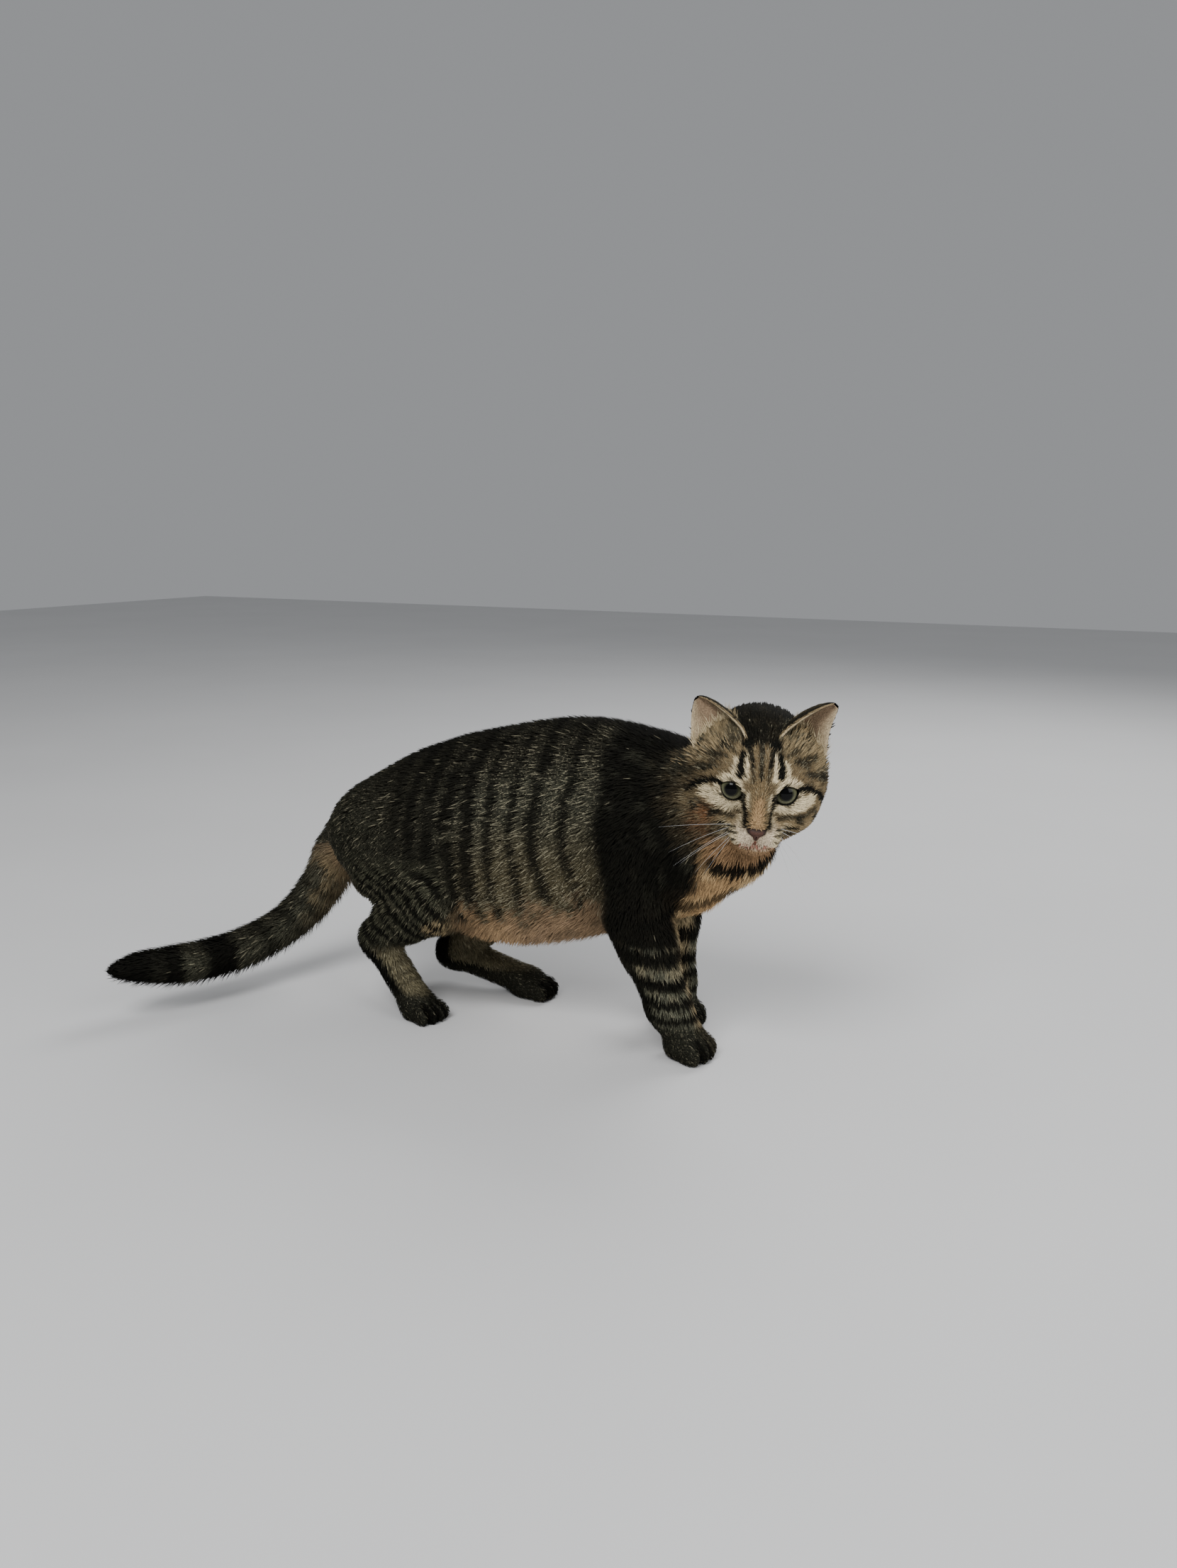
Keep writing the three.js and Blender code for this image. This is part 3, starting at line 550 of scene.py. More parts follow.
def surface_nets(values, axes):
    """A point for each cell that the surface crosses, and a quad for each grid edge that it crosses."""
    inside = values < 0
    shape = values.shape
    hits = np.zeros(tuple(n - 1 for n in shape), dtype=np.int64)
    total = np.zeros(hits.shape + (3,))
    for axis in range(3):
        u, v = (axis + 1) % 3, (axis + 2) % 3
        for du in (0, 1):
            for dv in (0, 1):
                cut = [slice(0, n - 1) for n in shape]
                cut[u] = slice(du, shape[u] - 1 + du)
                cut[v] = slice(dv, shape[v] - 1 + dv)
                a = values[tuple(cut)]
                cut[axis] = slice(1, shape[axis])
                b = values[tuple(cut)]
                crossed = (a < 0) != (b < 0)
                hits += crossed
                total[..., axis] += np.where(crossed, a / np.where(crossed, a - b, 1), 0)
                total[..., u] += np.where(crossed, du, 0)
                total[..., v] += np.where(crossed, dv, 0)
    used = np.argwhere(hits > 0)
    number = np.full(hits.shape, -1, dtype=np.int64)
    number[tuple(used.T)] = np.arange(len(used))
    place = used + total[tuple(used.T)] / hits[tuple(used.T)][:, None]
    points = np.column_stack([
        np.interp(place[:, a], np.arange(len(line)), line) for a, line in enumerate(axes)
    ])
    quads = []
    for axis in range(3):
        u, v = (axis + 1) % 3, (axis + 2) % 3
        first = [slice(1, n - 1) for n in shape]
        first[axis] = slice(0, shape[axis] - 1)
        second = list(first)
        second[axis] = slice(1, shape[axis])
        a, b = inside[tuple(first)], inside[tuple(second)]
        start = np.argwhere(a != b)
        was_inside = a[tuple(start.T)]
        start = start + np.array([0 if k == axis else 1 for k in range(3)])
        ring = []
        for du, dv in ((0, 0), (1, 0), (1, 1), (0, 1)):
            at = start.copy()
            at[:, u] -= du
            at[:, v] -= dv
            ring.append(number[tuple(at.T)])
        ring = np.column_stack(ring)
        ring[~was_inside] = ring[~was_inside][:, ::-1]
        quads.append(ring)
    return points, np.vstack(quads)


def halved(points, quads):
    """Each quad as two triangles, cut along its shorter diagonal."""
    a, b, c, d = (points[quads[:, i]] for i in range(4))
    short = np.linalg.norm(a - c, axis=1) < np.linalg.norm(b - d, axis=1)
    one = np.where(short[:, None], quads[:, [0, 1, 2]], quads[:, [0, 1, 3]])
    two = np.where(short[:, None], quads[:, [0, 2, 3]], quads[:, [1, 2, 3]])
    return np.vstack([one, two])


def refined(points, faces, wanted, form):
    """Splits every edge that is longer than wanted where it lies, and moves the new points onto the form."""
    n = len(points)
    edges = np.sort(faces[:, [0, 1, 1, 2, 2, 0]].reshape(-1, 2), axis=1)
    keys, back = np.unique(edges[:, 0] * n + edges[:, 1], return_inverse=True)
    back = back.reshape(-1, 3)
    ends = np.column_stack([keys // n, keys % n])
    middle = points[ends].mean(1)
    length = np.linalg.norm(points[ends[:, 0]] - points[ends[:, 1]], axis=1)
    split = length > 1.4 * wanted(middle)
    number = np.full(len(keys), -1)
    number[split] = n + np.arange(split.sum())
    points = np.vstack([points, settle(form, middle[split], 2, 0.6)])
    mark = split[back]
    count = mark.sum(1)
    out = [faces[count == 0]]
    for wanted_count in (1, 2):
        rows = np.nonzero(count == wanted_count)[0]
        m = mark[rows]
        turn = np.argmax(m, 1) if wanted_count == 1 else (np.argmin(m, 1) + 1) % 3
        at = (turn[:, None] + np.arange(3)) % 3
        a, b, c = np.take_along_axis(faces[rows], at, 1).T
        ab, bc, _ = np.take_along_axis(number[back[rows]], at, 1).T
        if wanted_count == 1:
            out += [np.column_stack([a, ab, c]), np.column_stack([ab, b, c])]
        else:
            out += [np.column_stack(t) for t in ((ab, b, bc), (a, ab, bc), (a, bc, c))]
    rows = np.nonzero(count == 3)[0]
    a, b, c = faces[rows].T
    ab, bc, ca = number[back[rows]].T
    out += [np.column_stack(t) for t in ((a, ab, ca), (ab, b, bc), (ca, bc, c), (ab, bc, ca))]
    return points, np.vstack(out)


def corner_normals(points, faces):
    """A normal at each point, from the triangles round it."""
    a, b, c = (points[faces[:, i]] for i in range(3))
    flat = np.cross(b - a, c - a)
    out = np.zeros_like(points)
    for i in range(3):
        for axis in range(3):
            out[:, axis] += np.bincount(faces[:, i], flat[:, axis], len(points))
    return out / np.maximum(np.linalg.norm(out, axis=1, keepdims=True), 1e-12)


def unit(v):
    return v / np.maximum(np.linalg.norm(v, axis=-1, keepdims=True), 1e-9)


# ---------------------------------------------------------------- meshes and materials
def made(name, points, faces, material, colour=None, uv=None, normals=None, nodes=()):
    """An object from points in the body's millimetres, riding on the row's one body."""
    mesh = bpy.data.meshes.new(name)
    faces = np.asarray(faces, dtype=np.int32)
    mesh.vertices.add(len(points))
    mesh.vertices.foreach_set("co", ((points + TO_ROW) * MM).astype(np.float32).ravel())
    mesh.loops.add(faces.size)
    mesh.loops.foreach_set("vertex_index", faces.ravel())
    mesh.polygons.add(len(faces))
    starts = np.arange(0, faces.size, faces.shape[1], dtype=np.int32)
    mesh.polygons.foreach_set("loop_start", starts)
    mesh.update(calc_edges=True)
    mesh.shade_smooth()
    if colour is not None:
        layer = mesh.color_attributes.new("fur", "FLOAT_COLOR", "POINT")
        layer.data.foreach_set("color", colour.astype(np.float32).ravel())
    if uv is not None:
        layer = mesh.uv_layers.new(name="OFBake")
        layer.data.foreach_set("uv", uv[faces.ravel()].astype(np.float32).ravel())
    if normals is not None:
        mesh.normals_split_custom_set_from_vertices(normals.astype(np.float32))
    mesh.materials.append(material)
    obj = bpy.data.objects.new(name, mesh)
    bpy.context.scene.collection.objects.link(obj)
    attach(obj, "root")
    if nodes:
        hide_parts(*nodes)
    return obj


def new_material(name, roughness, **inputs):
    """A material with its nodes, and the helper that adds and links one more."""
    material = bpy.data.materials.new(name)
    material.use_nodes = True
    tree = material.node_tree
    shader = tree.nodes["Principled BSDF"]
    shader.inputs["Roughness"].default_value = roughness
    for key, value in inputs.items():
        shader.inputs[key.replace("_", " ")].default_value = value

    def add(kind, links=(), **settings):
        node = tree.nodes.new(kind)
        for key, value in settings.items():
            if hasattr(node, key):
                setattr(node, key, value)
            else:
                node.inputs[key.replace("_", " ")].default_value = value
        for source, target in links:
            tree.links.new(source, node.inputs[target])
        return node

    return material, tree, shader, add


def graded(add, source, low, high, to_low, to_high):
    """A value spread from one range onto another."""
    node = add("ShaderNodeMapRange", [(source, "Value")])
    for key, value in (("From Min", low), ("From Max", high), ("To Min", to_low), ("To Max", to_high)):
        node.inputs[key].default_value = value
    return node.outputs[0]


def toned(add, kind, output, low, high, **settings):
    """A texture laid over the object, and its value spread from low to high."""
    place = add("ShaderNodeTexCoord")
    texture = add(kind, [(place.outputs["Object"], "Vector")], **settings)
    return texture, graded(add, texture.outputs[output], 0, 1, low, high)


def tint(tree, shader, add, value):
    """Gives the shader the mesh's own colours, scaled by a value."""
    colour = add("ShaderNodeVertexColor", layer_name="fur")
    scaled = add("ShaderNodeVectorMath", [(colour.outputs["Color"], 0), (value, "Scale")], operation="SCALE")
    tree.links.new(scaled.outputs[0], shader.inputs["Base Color"])


def with_flecks(colour, flecks):
    return np.column_stack([colour, np.broadcast_to(flecks, len(colour))])


FLECK = (0.275, 0.25, 0.17)


def fur_material(name, roughness, bump_depth):
    """The coat's colours. Their fourth channel says how strongly pale flecks show through them."""
    material, tree, shader, add = new_material(name, roughness, Specular_IOR_Level=0.05)
    place = add("ShaderNodeTexCoord")
    stretched = add("ShaderNodeMapping", [(place.outputs["Object"], "Vector")])
    stretched.inputs["Scale"].default_value = (0.62, 1.0, 1.0)
    colour = add("ShaderNodeVertexColor", layer_name="fur")
    here = [(place.outputs["Object"], "Vector")]
    along_hair = [(stretched.outputs[0], "Vector")]
    flecks = add("ShaderNodeTexNoise", along_hair, Scale=760.0, Detail=1.5, Roughness=0.6)
    streaks = add("ShaderNodeTexNoise", here, Scale=1500.0, Detail=2.0, Roughness=0.6)
    patches = add("ShaderNodeTexNoise", here, Scale=90.0, Detail=2.0)
    fine = graded(add, streaks.outputs["Fac"], 0.3, 0.7, 0.6, 1.4)
    broad = graded(add, patches.outputs["Fac"], 0.3, 0.7, 0.85, 1.15)
    both = add("ShaderNodeMath", operation="MULTIPLY")
    tree.links.new(fine, both.inputs[0])
    tree.links.new(broad, both.inputs[1])
    tinted = add("ShaderNodeVectorMath", operation="SCALE")
    tree.links.new(colour.outputs["Color"], tinted.inputs[0])
    tree.links.new(both.outputs[0], tinted.inputs["Scale"])
    share = add("ShaderNodeMath", operation="MULTIPLY")
    tree.links.new(graded(add, flecks.outputs["Fac"], 0.565, 0.69, 0.0, 1.0), share.inputs[0])
    tree.links.new(colour.outputs["Alpha"], share.inputs[1])
    fleck = add("ShaderNodeMix", data_type="RGBA")
    tree.links.new(share.outputs[0], fleck.inputs["Factor"])
    tree.links.new(tinted.outputs[0], fleck.inputs["A"])
    fleck.inputs["B"].default_value = (*FLECK, 1)
    mixed_out = [socket for socket in fleck.outputs if socket.type == "RGBA"][0]
    tree.links.new(mixed_out, shader.inputs["Base Color"])
    bump = add("ShaderNodeBump", [(streaks.outputs["Fac"], "Height")], Strength=bump_depth, Distance=0.0006)
    tree.links.new(bump.outputs["Normal"], shader.inputs["Normal"])
    return material


# ---------------------------------------------------------------- markings
BLACK = vec(0.0050, 0.0048, 0.0036)
SOOT = vec(0.014, 0.013, 0.009)
GREY = vec(0.037, 0.037, 0.026)
TAN = vec(0.175, 0.125, 0.066)
SAND = vec(0.37, 0.28, 0.155)
CREAM = vec(0.74, 0.62, 0.40)
WHITE = vec(0.70, 0.57, 0.41)
ORANGE = vec(0.55, 0.35, 0.17)
RUFOUS = vec(0.30, 0.118, 0.05)
PINK = vec(0.46, 0.19, 0.14)


def mixed(colour, over, share):
    share = np.clip(share, 0, 1)[:, None]
    return colour * (1 - share) + over * share


def along(p, points):
    """Distance from a chain of points, and how far along it the nearest place is, from 0 to 1."""
    points = np.asarray(points, dtype=np.float64)
    best = np.full(len(p), 1e6)
    share = np.zeros(len(p))
    steps = len(points) - 1
    for i in range(steps):
        a, b = points[i], points[i + 1]
        t = np.clip((p - a) @ (b - a) / ((b - a) @ (b - a)), 0, 1)
        d = np.linalg.norm(p - a - t[:, None] * (b - a), axis=1)
        nearer = d < best
        best = np.where(nearer, d, best)
        share = np.where(nearer, (i + t) / steps, share)
    return best, share


def stroke(p, points, start, end, soft=1.2):
    """How strongly a painted line covers each point. Its half width runs from `start` to `end`."""
    d, share = along(p, points)
    half = start + (end - start) * share
    return ramp(half + soft, half - soft, d)


def face_stroke(m, points, start, end, soft=0.9):
    """A painted line whose chain of places follows the head's coat, in the head's frame."""
    run = np.linspace(0, 1, 6 * (len(points) - 1) + 1)
    knots = np.linspace(0, 1, len(points))
    columns = np.array(points, dtype=np.float64).T
    chain = np.column_stack([np.interp(run, knots, column) for column in columns])
    return stroke(m, settle(face_forms, chain, 5, 4), start, end, soft)


# Strokes on the face, in the head's frame, on the +Y side and mirrored:
# points, half width at each end, colour and strength.
FACE_STROKES = [
    ([(-3, 12.8, 25), (2, 13.2, 21.5), (6, 13.4, 18.5), (11, 13.0, 13.5)], 2.3, 2.9, BLACK, 1.0),
    ([(-9, 8.4, 27), (0.8, 7.0, 23.5), (9, 5.2, 18)], 2.3, 1.5, BLACK, 0.97),
    ([(9, 5.8, 18.5), (16, 4.2, 11)], 1.4, 1.0, SOOT, 0.75),
    ([(-8, 0, 27), (3, 0, 23.5), (14, 0, 14)], 2.1, 1.5, SOOT, 0.92),
    ([(16, 2.0, 11), (20, 1.0, 5)], 1.6, 1.2, TAN, 0.7),
    (
        [(8.5, 28.2, 6.2), (2.9, 34.8, 3), (-6.4, 41.2, -4.4), (-12, 45.5, -12), (-18, 48, -17)],
        1.9, 4.2, BLACK, 1.0,
    ),
    ([(-6, 33, 8), (-16, 42, 2), (-28, 46, -1), (-42, 46, -6)], 1.5, 3.2, SOOT, 0.85),
    (
        [(17, 10.8, 1.0), (19.5, 10.2, -5), (24, 9.2, -10), (28, 7.6, -14), (32, 5.8, -17.5)],
        2.9, 2.0, BLACK, 0.97,
    ),
    ([(20, 11.5, -9), (25, 10, -14)], 3.0, 2.2, SOOT, 0.7),
    ([(8, 28, -24), (17, 21, -21), (24.5, 15.4, -17)], 1.6, 1.0, BLACK, 0.97),
    ([(10, 26, -28.8), (19, 19, -24.6), (28, 12.8, -20.3)], 1.6, 0.9, BLACK, 0.97),
    ([(12, 23, -33), (21, 17, -29.2), (29, 13, -25)], 1.5, 0.9, BLACK, 0.95),
    ([(16, 17, -13.5), (8, 27, -15), (-2, 36, -14)], 1.5, 2.2, SOOT, 0.75),
    ([(9, 27, -15.5), (8, 29, -19)], 2.8, 2.4, SOOT, 0.9),
    ([(-2, 37.5, -18), (-4, 38.5, -23)], 3.6, 2.8, SOOT, 0.95),
    ([(-14, 43, -27), (-22, 45, -31), (-32, 45, -33)], 2.2, 3.2, BLACK, 0.8),
    ([(-4, 24, 21), (-12, 31, 18), (-20, 37, 14)], 1.5, 2.6, SOOT, 0.85),
    ([(0, 30, 13), (-8, 36, 10), (-16, 42, 6)], 1.4, 2.4, SOOT, 0.8),
    ([(-6, 18, 24), (-12, 22, 25), (-18, 27, 23)], 1.6, 2.4, SOOT, 0.8),
]


def face_colours(q, base, wobble):
    """The head's colours, over the general ticked ground."""
    side = np.abs(q[:, 1])
    m = np.column_stack([q[:, 0], side, q[:, 2]])
    x, z = q[:, 0], q[:, 2]
    front = ramp(-34, -6, x)
    mottle = noise(q * vec(0.7, 1, 1.3), 6.5, 11)
    c = mixed(base, TAN, 0.8 * front)
    rear = ramp(4, -6, x)
    c = mixed(c, SAND * 0.8, 0.55 * ramp(0.0, 0.5, mottle) * rear * ramp(-60, -30, x))
    c = mixed(c, SOOT * 1.5, 0.7 * ramp(0.1, 0.5, -mottle) * rear)
    # The brow's pale streaks, the cream round the eyes and the grey-tan between them.
    c = mixed(c, CREAM * 0.85, 0.9 * face_stroke(m, [(1, 17.2, 21.5), (9, 17.4, 14.5)], 2.0, 2.2, 1.4))
    inner_brow = [(-3, 10.0, 24.5), (4, 9.6, 20), (13, 9.0, 12)]
    c = mixed(c, CREAM * 0.9, 0.9 * face_stroke(m, inner_brow, 1.5, 2.0, 1.1))
    for eye in SIDES:
        gap = lid_gap(into_eye(q, eye))
        c = mixed(c, CREAM, 0.9 * ramp(7.5, 3, gap) * (x > -4))
    under_eye = [(17, 12.5, -7.5), (13, 18, -8.5), (8, 26, -6.5), (0, 34, -5)]
    c = mixed(c, CREAM * 1.2, 0.97 * face_stroke(m, under_eye, 3.0, 5.0, 1.6))
    c = mixed(c, TAN, 0.85 * face_stroke(m, [(20, 0, 6), (30, 0, -12)], 4.6, 5.0, 2))
    c = mixed(c, CREAM * 0.8, 0.8 * face_stroke(m, [(18, 7.2, 3), (23, 6.4, -5)], 1.3, 1.1, 1.2))
    c = mixed(c, SAND * vec(0.98, 0.84, 0.78), 0.9 * face_stroke(m, [(23, 0, 0), (33, 0, -15)], 3.0, 4.6, 2))
    c = mixed(c, CREAM * 0.95, 0.8 * face_stroke(m, [(20, 13, -11), (25, 12, -15)], 2.8, 2.8, 2.5))
    c = mixed(c, SAND, 0.7 * face_stroke(m, [(20, 17, -18), (10, 26, -21), (0, 34, -22)], 5, 5, 3))
    # The muzzle and the chin.
    muzzle = ramp(17, 10.5, side) * ramp(8, 16, x) * ramp(-13, -19, z)
    c = mixed(c, WHITE, 0.92 * muzzle)
    pads = ramp(24, 19, side) * ramp(9, 13, side) * ramp(6, 12, x) * ramp(-17, -20, z)
    c = mixed(c, CREAM, 0.8 * pads)
    chin = ramp(-30.6, -33, z) * ramp(-2, 8, x) * ramp(24, 16, side)
    c = mixed(c, SAND * vec(0.78, 0.60, 0.52), 0.9 * chin)
    # A reddish patch on the right cheek only, and the paler jaw.
    c = mixed(c, SAND, 0.5 * face_stroke(m, [(0, 33, -14), (-14, 42, -20), (-28, 44, -22)], 5, 6, 5))
    rufous = face_stroke(q, [(5, -32, -19), (2, -36, -27), (3, -32, -36)], 6.0, 8.0, 7)
    rufous = rufous * ramp(-0.9, 0.3, mottle)
    c = mixed(c, RUFOUS, 0.8 * rufous)
    # The black crown, which runs down into the brow's strokes.
    crown = ramp(15, 11, side * ramp(-60, -14, x) ** 0.5 + 1.5 * wobble)
    crown = crown * ramp(-6, -13, x) * ramp(-50, -10, z)
    c = mixed(c, BLACK, 0.96 * crown)
    c = mixed(c, BLACK, ramp(6, 3.4, np.linalg.norm(m - vec(-12, 9.5, 26.5), axis=1)))
    for points, start, end, colour, strength in FACE_STROKES:
        c = mixed(c, colour, strength * face_stroke(m, points, start, end))
    for eye in SIDES:
        e = into_eye(q, eye)
        liner = ramp(2.4, 1.3, lid_gap(e)) * (e[:, 0] > 0)
        c = mixed(c, BLACK, liner)
    lip = ramp(2.4, 1.0, mouth_distance(q)) * ramp(15, 10, side) * ramp(12, 18, x) * ramp(-26.5, -28, z)
    c = mixed(c, PINK, 0.9 * lip)
    return c


def leg_bands(z, bands, soft=2.2):
    cover = np.zeros_like(z)
    for middle, half in bands:
        cover = np.maximum(cover, ramp(half + soft, half - soft, np.abs(z - middle)))
    return cover


def toe_crease_shade(p, leg, size):
    """Painted shade in the grooves between the toes."""
    turn = math.radians(leg["turn"])
    off = p[:, :2] - vec(*leg["paw"])
    forward = off[:, 0] * math.cos(turn) + off[:, 1] * math.sin(turn)
    sideways = -off[:, 0] * math.sin(turn) + off[:, 1] * math.cos(turn)
    step = sideways / (size["wide"] * TOE["apart"]) - 0.03 * sideways * forward / size["long"] * 0.5
    groove = np.min([np.abs(step - k) for k in (-1, 0, 1)], axis=0)
    ahead = ramp(0.12, 0.26, forward / size["long"])
    return ramp(0.26, 0.1, groove) * ahead * (p[:, 2] < size["high"] * 0.9)


FORE_BANDS = [(90.5, 7.5), (69, 5.6), (53.5, 4.4), (40, 3.6)]
KNEE = vec(-66, -60, 88)
HAUNCH_STEP = 15  # from one of the thighs' slanting stripes to the next
SHIN_BANDS = [(88, 2.2), (98, 2.2), (108, 2.2)]  # by height less half the X
FLANK_STRIPES = [  # X and half the width of each dark stripe
    (-172, 5), (-150, 6), (-128, 6), (-106, 7), (-86, 6), (-66, 5.5), (-48, 6), (-30, 6), (-10, 3), (12, 3),
    (33, 4.5), (58, 3), (92, 11), (118, 9), (140, 8),
]
TAIL_BANDS = [(0.238, 0.026), (0.350, 0.036), (0.46, 0.014), (0.55, 0.014), (0.64, 0.014), (0.73, 0.014)]


def trunk_colours(p, wobble, small):
    """Black along the spine, ticked grey-brown flanks with dark stripes, and a pale belly."""
    tops = np.interp(p[:, 0], [s[0] for s in TRUNK], [s[2] for s in TRUNK])
    lows = np.interp(p[:, 0], [s[0] for s in TRUNK], [s[3] for s in TRUNK])
    up = np.clip((p[:, 2] - lows) / (tops - lows), -0.2, 1.1) + 0.035 * wobble
    c = np.tile(GREY, (len(p), 1))
    c = mixed(c, TAN * vec(0.62, 0.7, 0.72), 0.65 * ramp(0.7, 0.3, up) * ramp(-70, -20, p[:, 0]))
    c = mixed(c, SOOT, 0.8 * ramp(0.74, 0.9, up))
    c = mixed(c, SOOT * 1.1, 0.7 * ramp(-25, -85, p[:, 0]) * ramp(0.1, 0.3, up))
    lean = p[:, 0] + 5 * noise(p * vec(1, 1, 0.6), 27, 3) + 1.5 * small
    stripes = np.zeros(len(p))
    for middle, half in FLANK_STRIPES:
        stripes = np.maximum(stripes, ramp(half + 3.5, half - 2, np.abs(lean - middle)))
    stripes = stripes * ramp(-0.9, -0.2, wobble + 0.6 * small + 0.25) * ramp(0.06, 0.22, up)
    stripes = stripes * (1 - 0.5 * ramp(-80, -130, p[:, 0]))
    c = mixed(c, BLACK * 1.3, 0.9 * stripes)
    c = with_belly(c, p, up, small)
    outer = ramp(6, 16, np.abs(p[:, 1] + 2))
    shoulder = ramp(72, 88, p[:, 0] + 4 * wobble) * ramp(-0.05, 0.12, up + 0.3 * outer)
    c = mixed(c, BLACK * 1.4, 0.97 * shoulder)
    c = mixed(c, GREY, 0.4 * shoulder * ramp(0.1, 0.6, small - 0.3 * wobble))
    c = mixed(c, BLACK, 0.8 * ramp(0.92, 1.02, up))
    c, chest = with_chest(c, p, wobble)
    tick = 1 - 0.5 * ramp(0.76, 0.98, up)
    tick = tick * (1 - 0.8 * stripes) * (1 - 0.8 * shoulder) * (1 - chest)
    tick = tick * (1 - 0.62 * ramp(-25, -85, p[:, 0]))
    low_tick = 0.6 * ramp(0.42, 0.26, up) * ramp(-50, -10, p[:, 0]) * (1 - shoulder)
    return c, (tick + low_tick) * ramp(0.05, 0.25, up)


def with_belly(c, p, up, small):
    streaks = noise(p * vec(1, 1, 0.22), 4.5, 9)
    belly = ramp(0.26, 0.13, up + 0.04 * small + 0.08 * streaks)
    c = mixed(c, SAND * vec(1.0, 0.88, 0.92), 0.92 * belly)
    c = mixed(c, SAND * vec(1.5, 1.35, 1.5), 0.45 * belly * ramp(0.0, 0.6, streaks))
    c = mixed(c, GREY * 1.5, 0.35 * belly * ramp(-0.1, -0.6, streaks))
    return mixed(c, ORANGE, 0.4 * belly * ramp(-85, -62, p[:, 0]) * ramp(15, -20, p[:, 0]))


def with_chest(c, p, wobble):
    """The chest, orange-tan with one dark band across it."""
    across = np.abs(p[:, 1] + 4 + 0.45 * (p[:, 0] - 115))
    chest = ramp(54, 67, 0.55 * p[:, 0] - 0.8 * across + 3 * wobble)
    chest = chest * ramp(196, 182, p[:, 2]) * ramp(104, 116, p[:, 0])
    c = mixed(c, ORANGE, 0.94 * chest)
    c = mixed(c, SAND * 1.5, 0.6 * chest * ramp(-0.4, 0.5, wobble))
    band = np.abs(p[:, 2] - 0.4 * (p[:, 0] - 140) - 128 - 3 * wobble)
    return mixed(c, BLACK, 0.8 * ramp(5, 2.5, band) * ramp(100, 116, p[:, 0])), chest


def tail_colours(p, wobble, small):
    """Banded to a black tip, and paler underneath at the base."""
    _, run = along(p, TAIL_POINTS)
    from_tip = 1 - run
    height = slope_up(p)
    c = np.tile(GREY * 1.1, (len(p), 1))
    c = mixed(c, SAND * 0.55, 0.85 * ramp(0.45, 0.9, from_tip) * ramp(0.3, -0.5, small * 0.6 + height))
    c = mixed(c, SOOT, 0.75 * ramp(0.2, 0.9, height))
    bands = leg_bands(from_tip + 0.008 * wobble, TAIL_BANDS, 0.010)
    c = mixed(c, BLACK, (0.5 + 0.48 * ramp(0.43, 0.40, from_tip)) * bands)
    tip = np.maximum(ramp(0.186, 0.172, from_tip + 0.006 * small), 0.8 * ramp(0.222, 0.208, from_tip))
    c = mixed(c, BLACK, 0.98 * tip)
    return c, 0.42 * (1 - tip) * (1 - 0.85 * bands) * (1 - 0.5 * ramp(0.2, 0.9, height))


def foreleg_colours(p, side, wobble, small):
    """Black above, then pale rings, then a charcoal foot."""
    leg = FORELEG[side]
    z = p[:, 2] + 2.0 * wobble + 0.1 * (p[:, 0] - leg["wrist"][0])
    inward = (p[:, 1] - leg["elbow"][1]) * -SIDES[side]
    c = np.tile(GREY * 2.6, (len(p), 1))
    c = mixed(c, SAND * vec(0.8, 0.9, 1), 0.6 * ramp(-0.4, 0.6, small) * ramp(48, 70, z))
    c = mixed(c, SAND, 0.7 * ramp(2, 14, inward))
    top = ramp(94, 101, z) * (1 - ramp(8, 16, inward + 0.5 * (p[:, 0] - leg["elbow"][0] - 20)))
    back = ramp(-3, -9, p[:, 0] - leg["wrist"][0] + 0.26 * (z - 40) + 2 * small) * ramp(8, 20, z)
    dark = np.maximum(np.maximum(leg_bands(z, FORE_BANDS), top), 0.95 * back)
    c = mixed(c, BLACK, 0.985 * dark)
    c = mixed(c, SOOT * vec(1.05, 1.15, 1.2), 0.94 * ramp(38, 28, z))
    # painted shade in the grooves between the forepaw's toes
    c = mixed(c, BLACK, 0.96 * toe_crease_shade(p, leg, FORE_PAW))
    return c, 0.6 * (1 - 0.92 * dark) * ramp(22, 44, z) + 0.4 * ramp(40, 24, z)


def hindleg_colours(p, side, wobble):
    """A dark thigh, a paler hock with a black line behind it, and a charcoal foot."""
    leg = HINDLEG[side]
    z = p[:, 2] + 2.5 * wobble
    c = np.tile(SOOT * vec(1.3, 1.4, 1.4), (len(p), 1))
    along_foot = unit(vec(leg["paw"][0] - 6 - leg["hock"][0], 0, 12 - leg["hock"][2]))
    from_hock = p - vec(*leg["hock"])
    behind = from_hock @ vec(along_foot[2], 0, -along_foot[0])
    above = ramp(-4, 6, from_hock[:, 2])
    behind = behind * (1 - above) - (from_hock[:, 0] + 2) * above
    shin = ramp(-3, -7, behind) * ramp(66, 56, z) * ramp(20, 30, z)
    c = mixed(c, SAND * vec(0.36, 0.41, 0.44), 0.9 * shin)
    c = mixed(c, BLACK, 0.55 * shin * leg_bands(z - 0.5 * p[:, 0], SHIN_BANDS, 1.6))
    line = ramp(-5, -1, behind) * ramp(96, 80, z)
    c = mixed(c, BLACK, 0.985 * line)
    c = mixed(c, SOOT * vec(1.4, 1.5, 1.6), 0.94 * ramp(29, 21, z))
    # painted shade in the grooves between the hind paw's toes
    c = mixed(c, BLACK, 0.96 * toe_crease_shade(p, leg, HIND_PAW))
    return c, 0.45 * (1 - 0.95 * line) * ramp(18, 34, z) + 0.3 * ramp(30, 18, z)


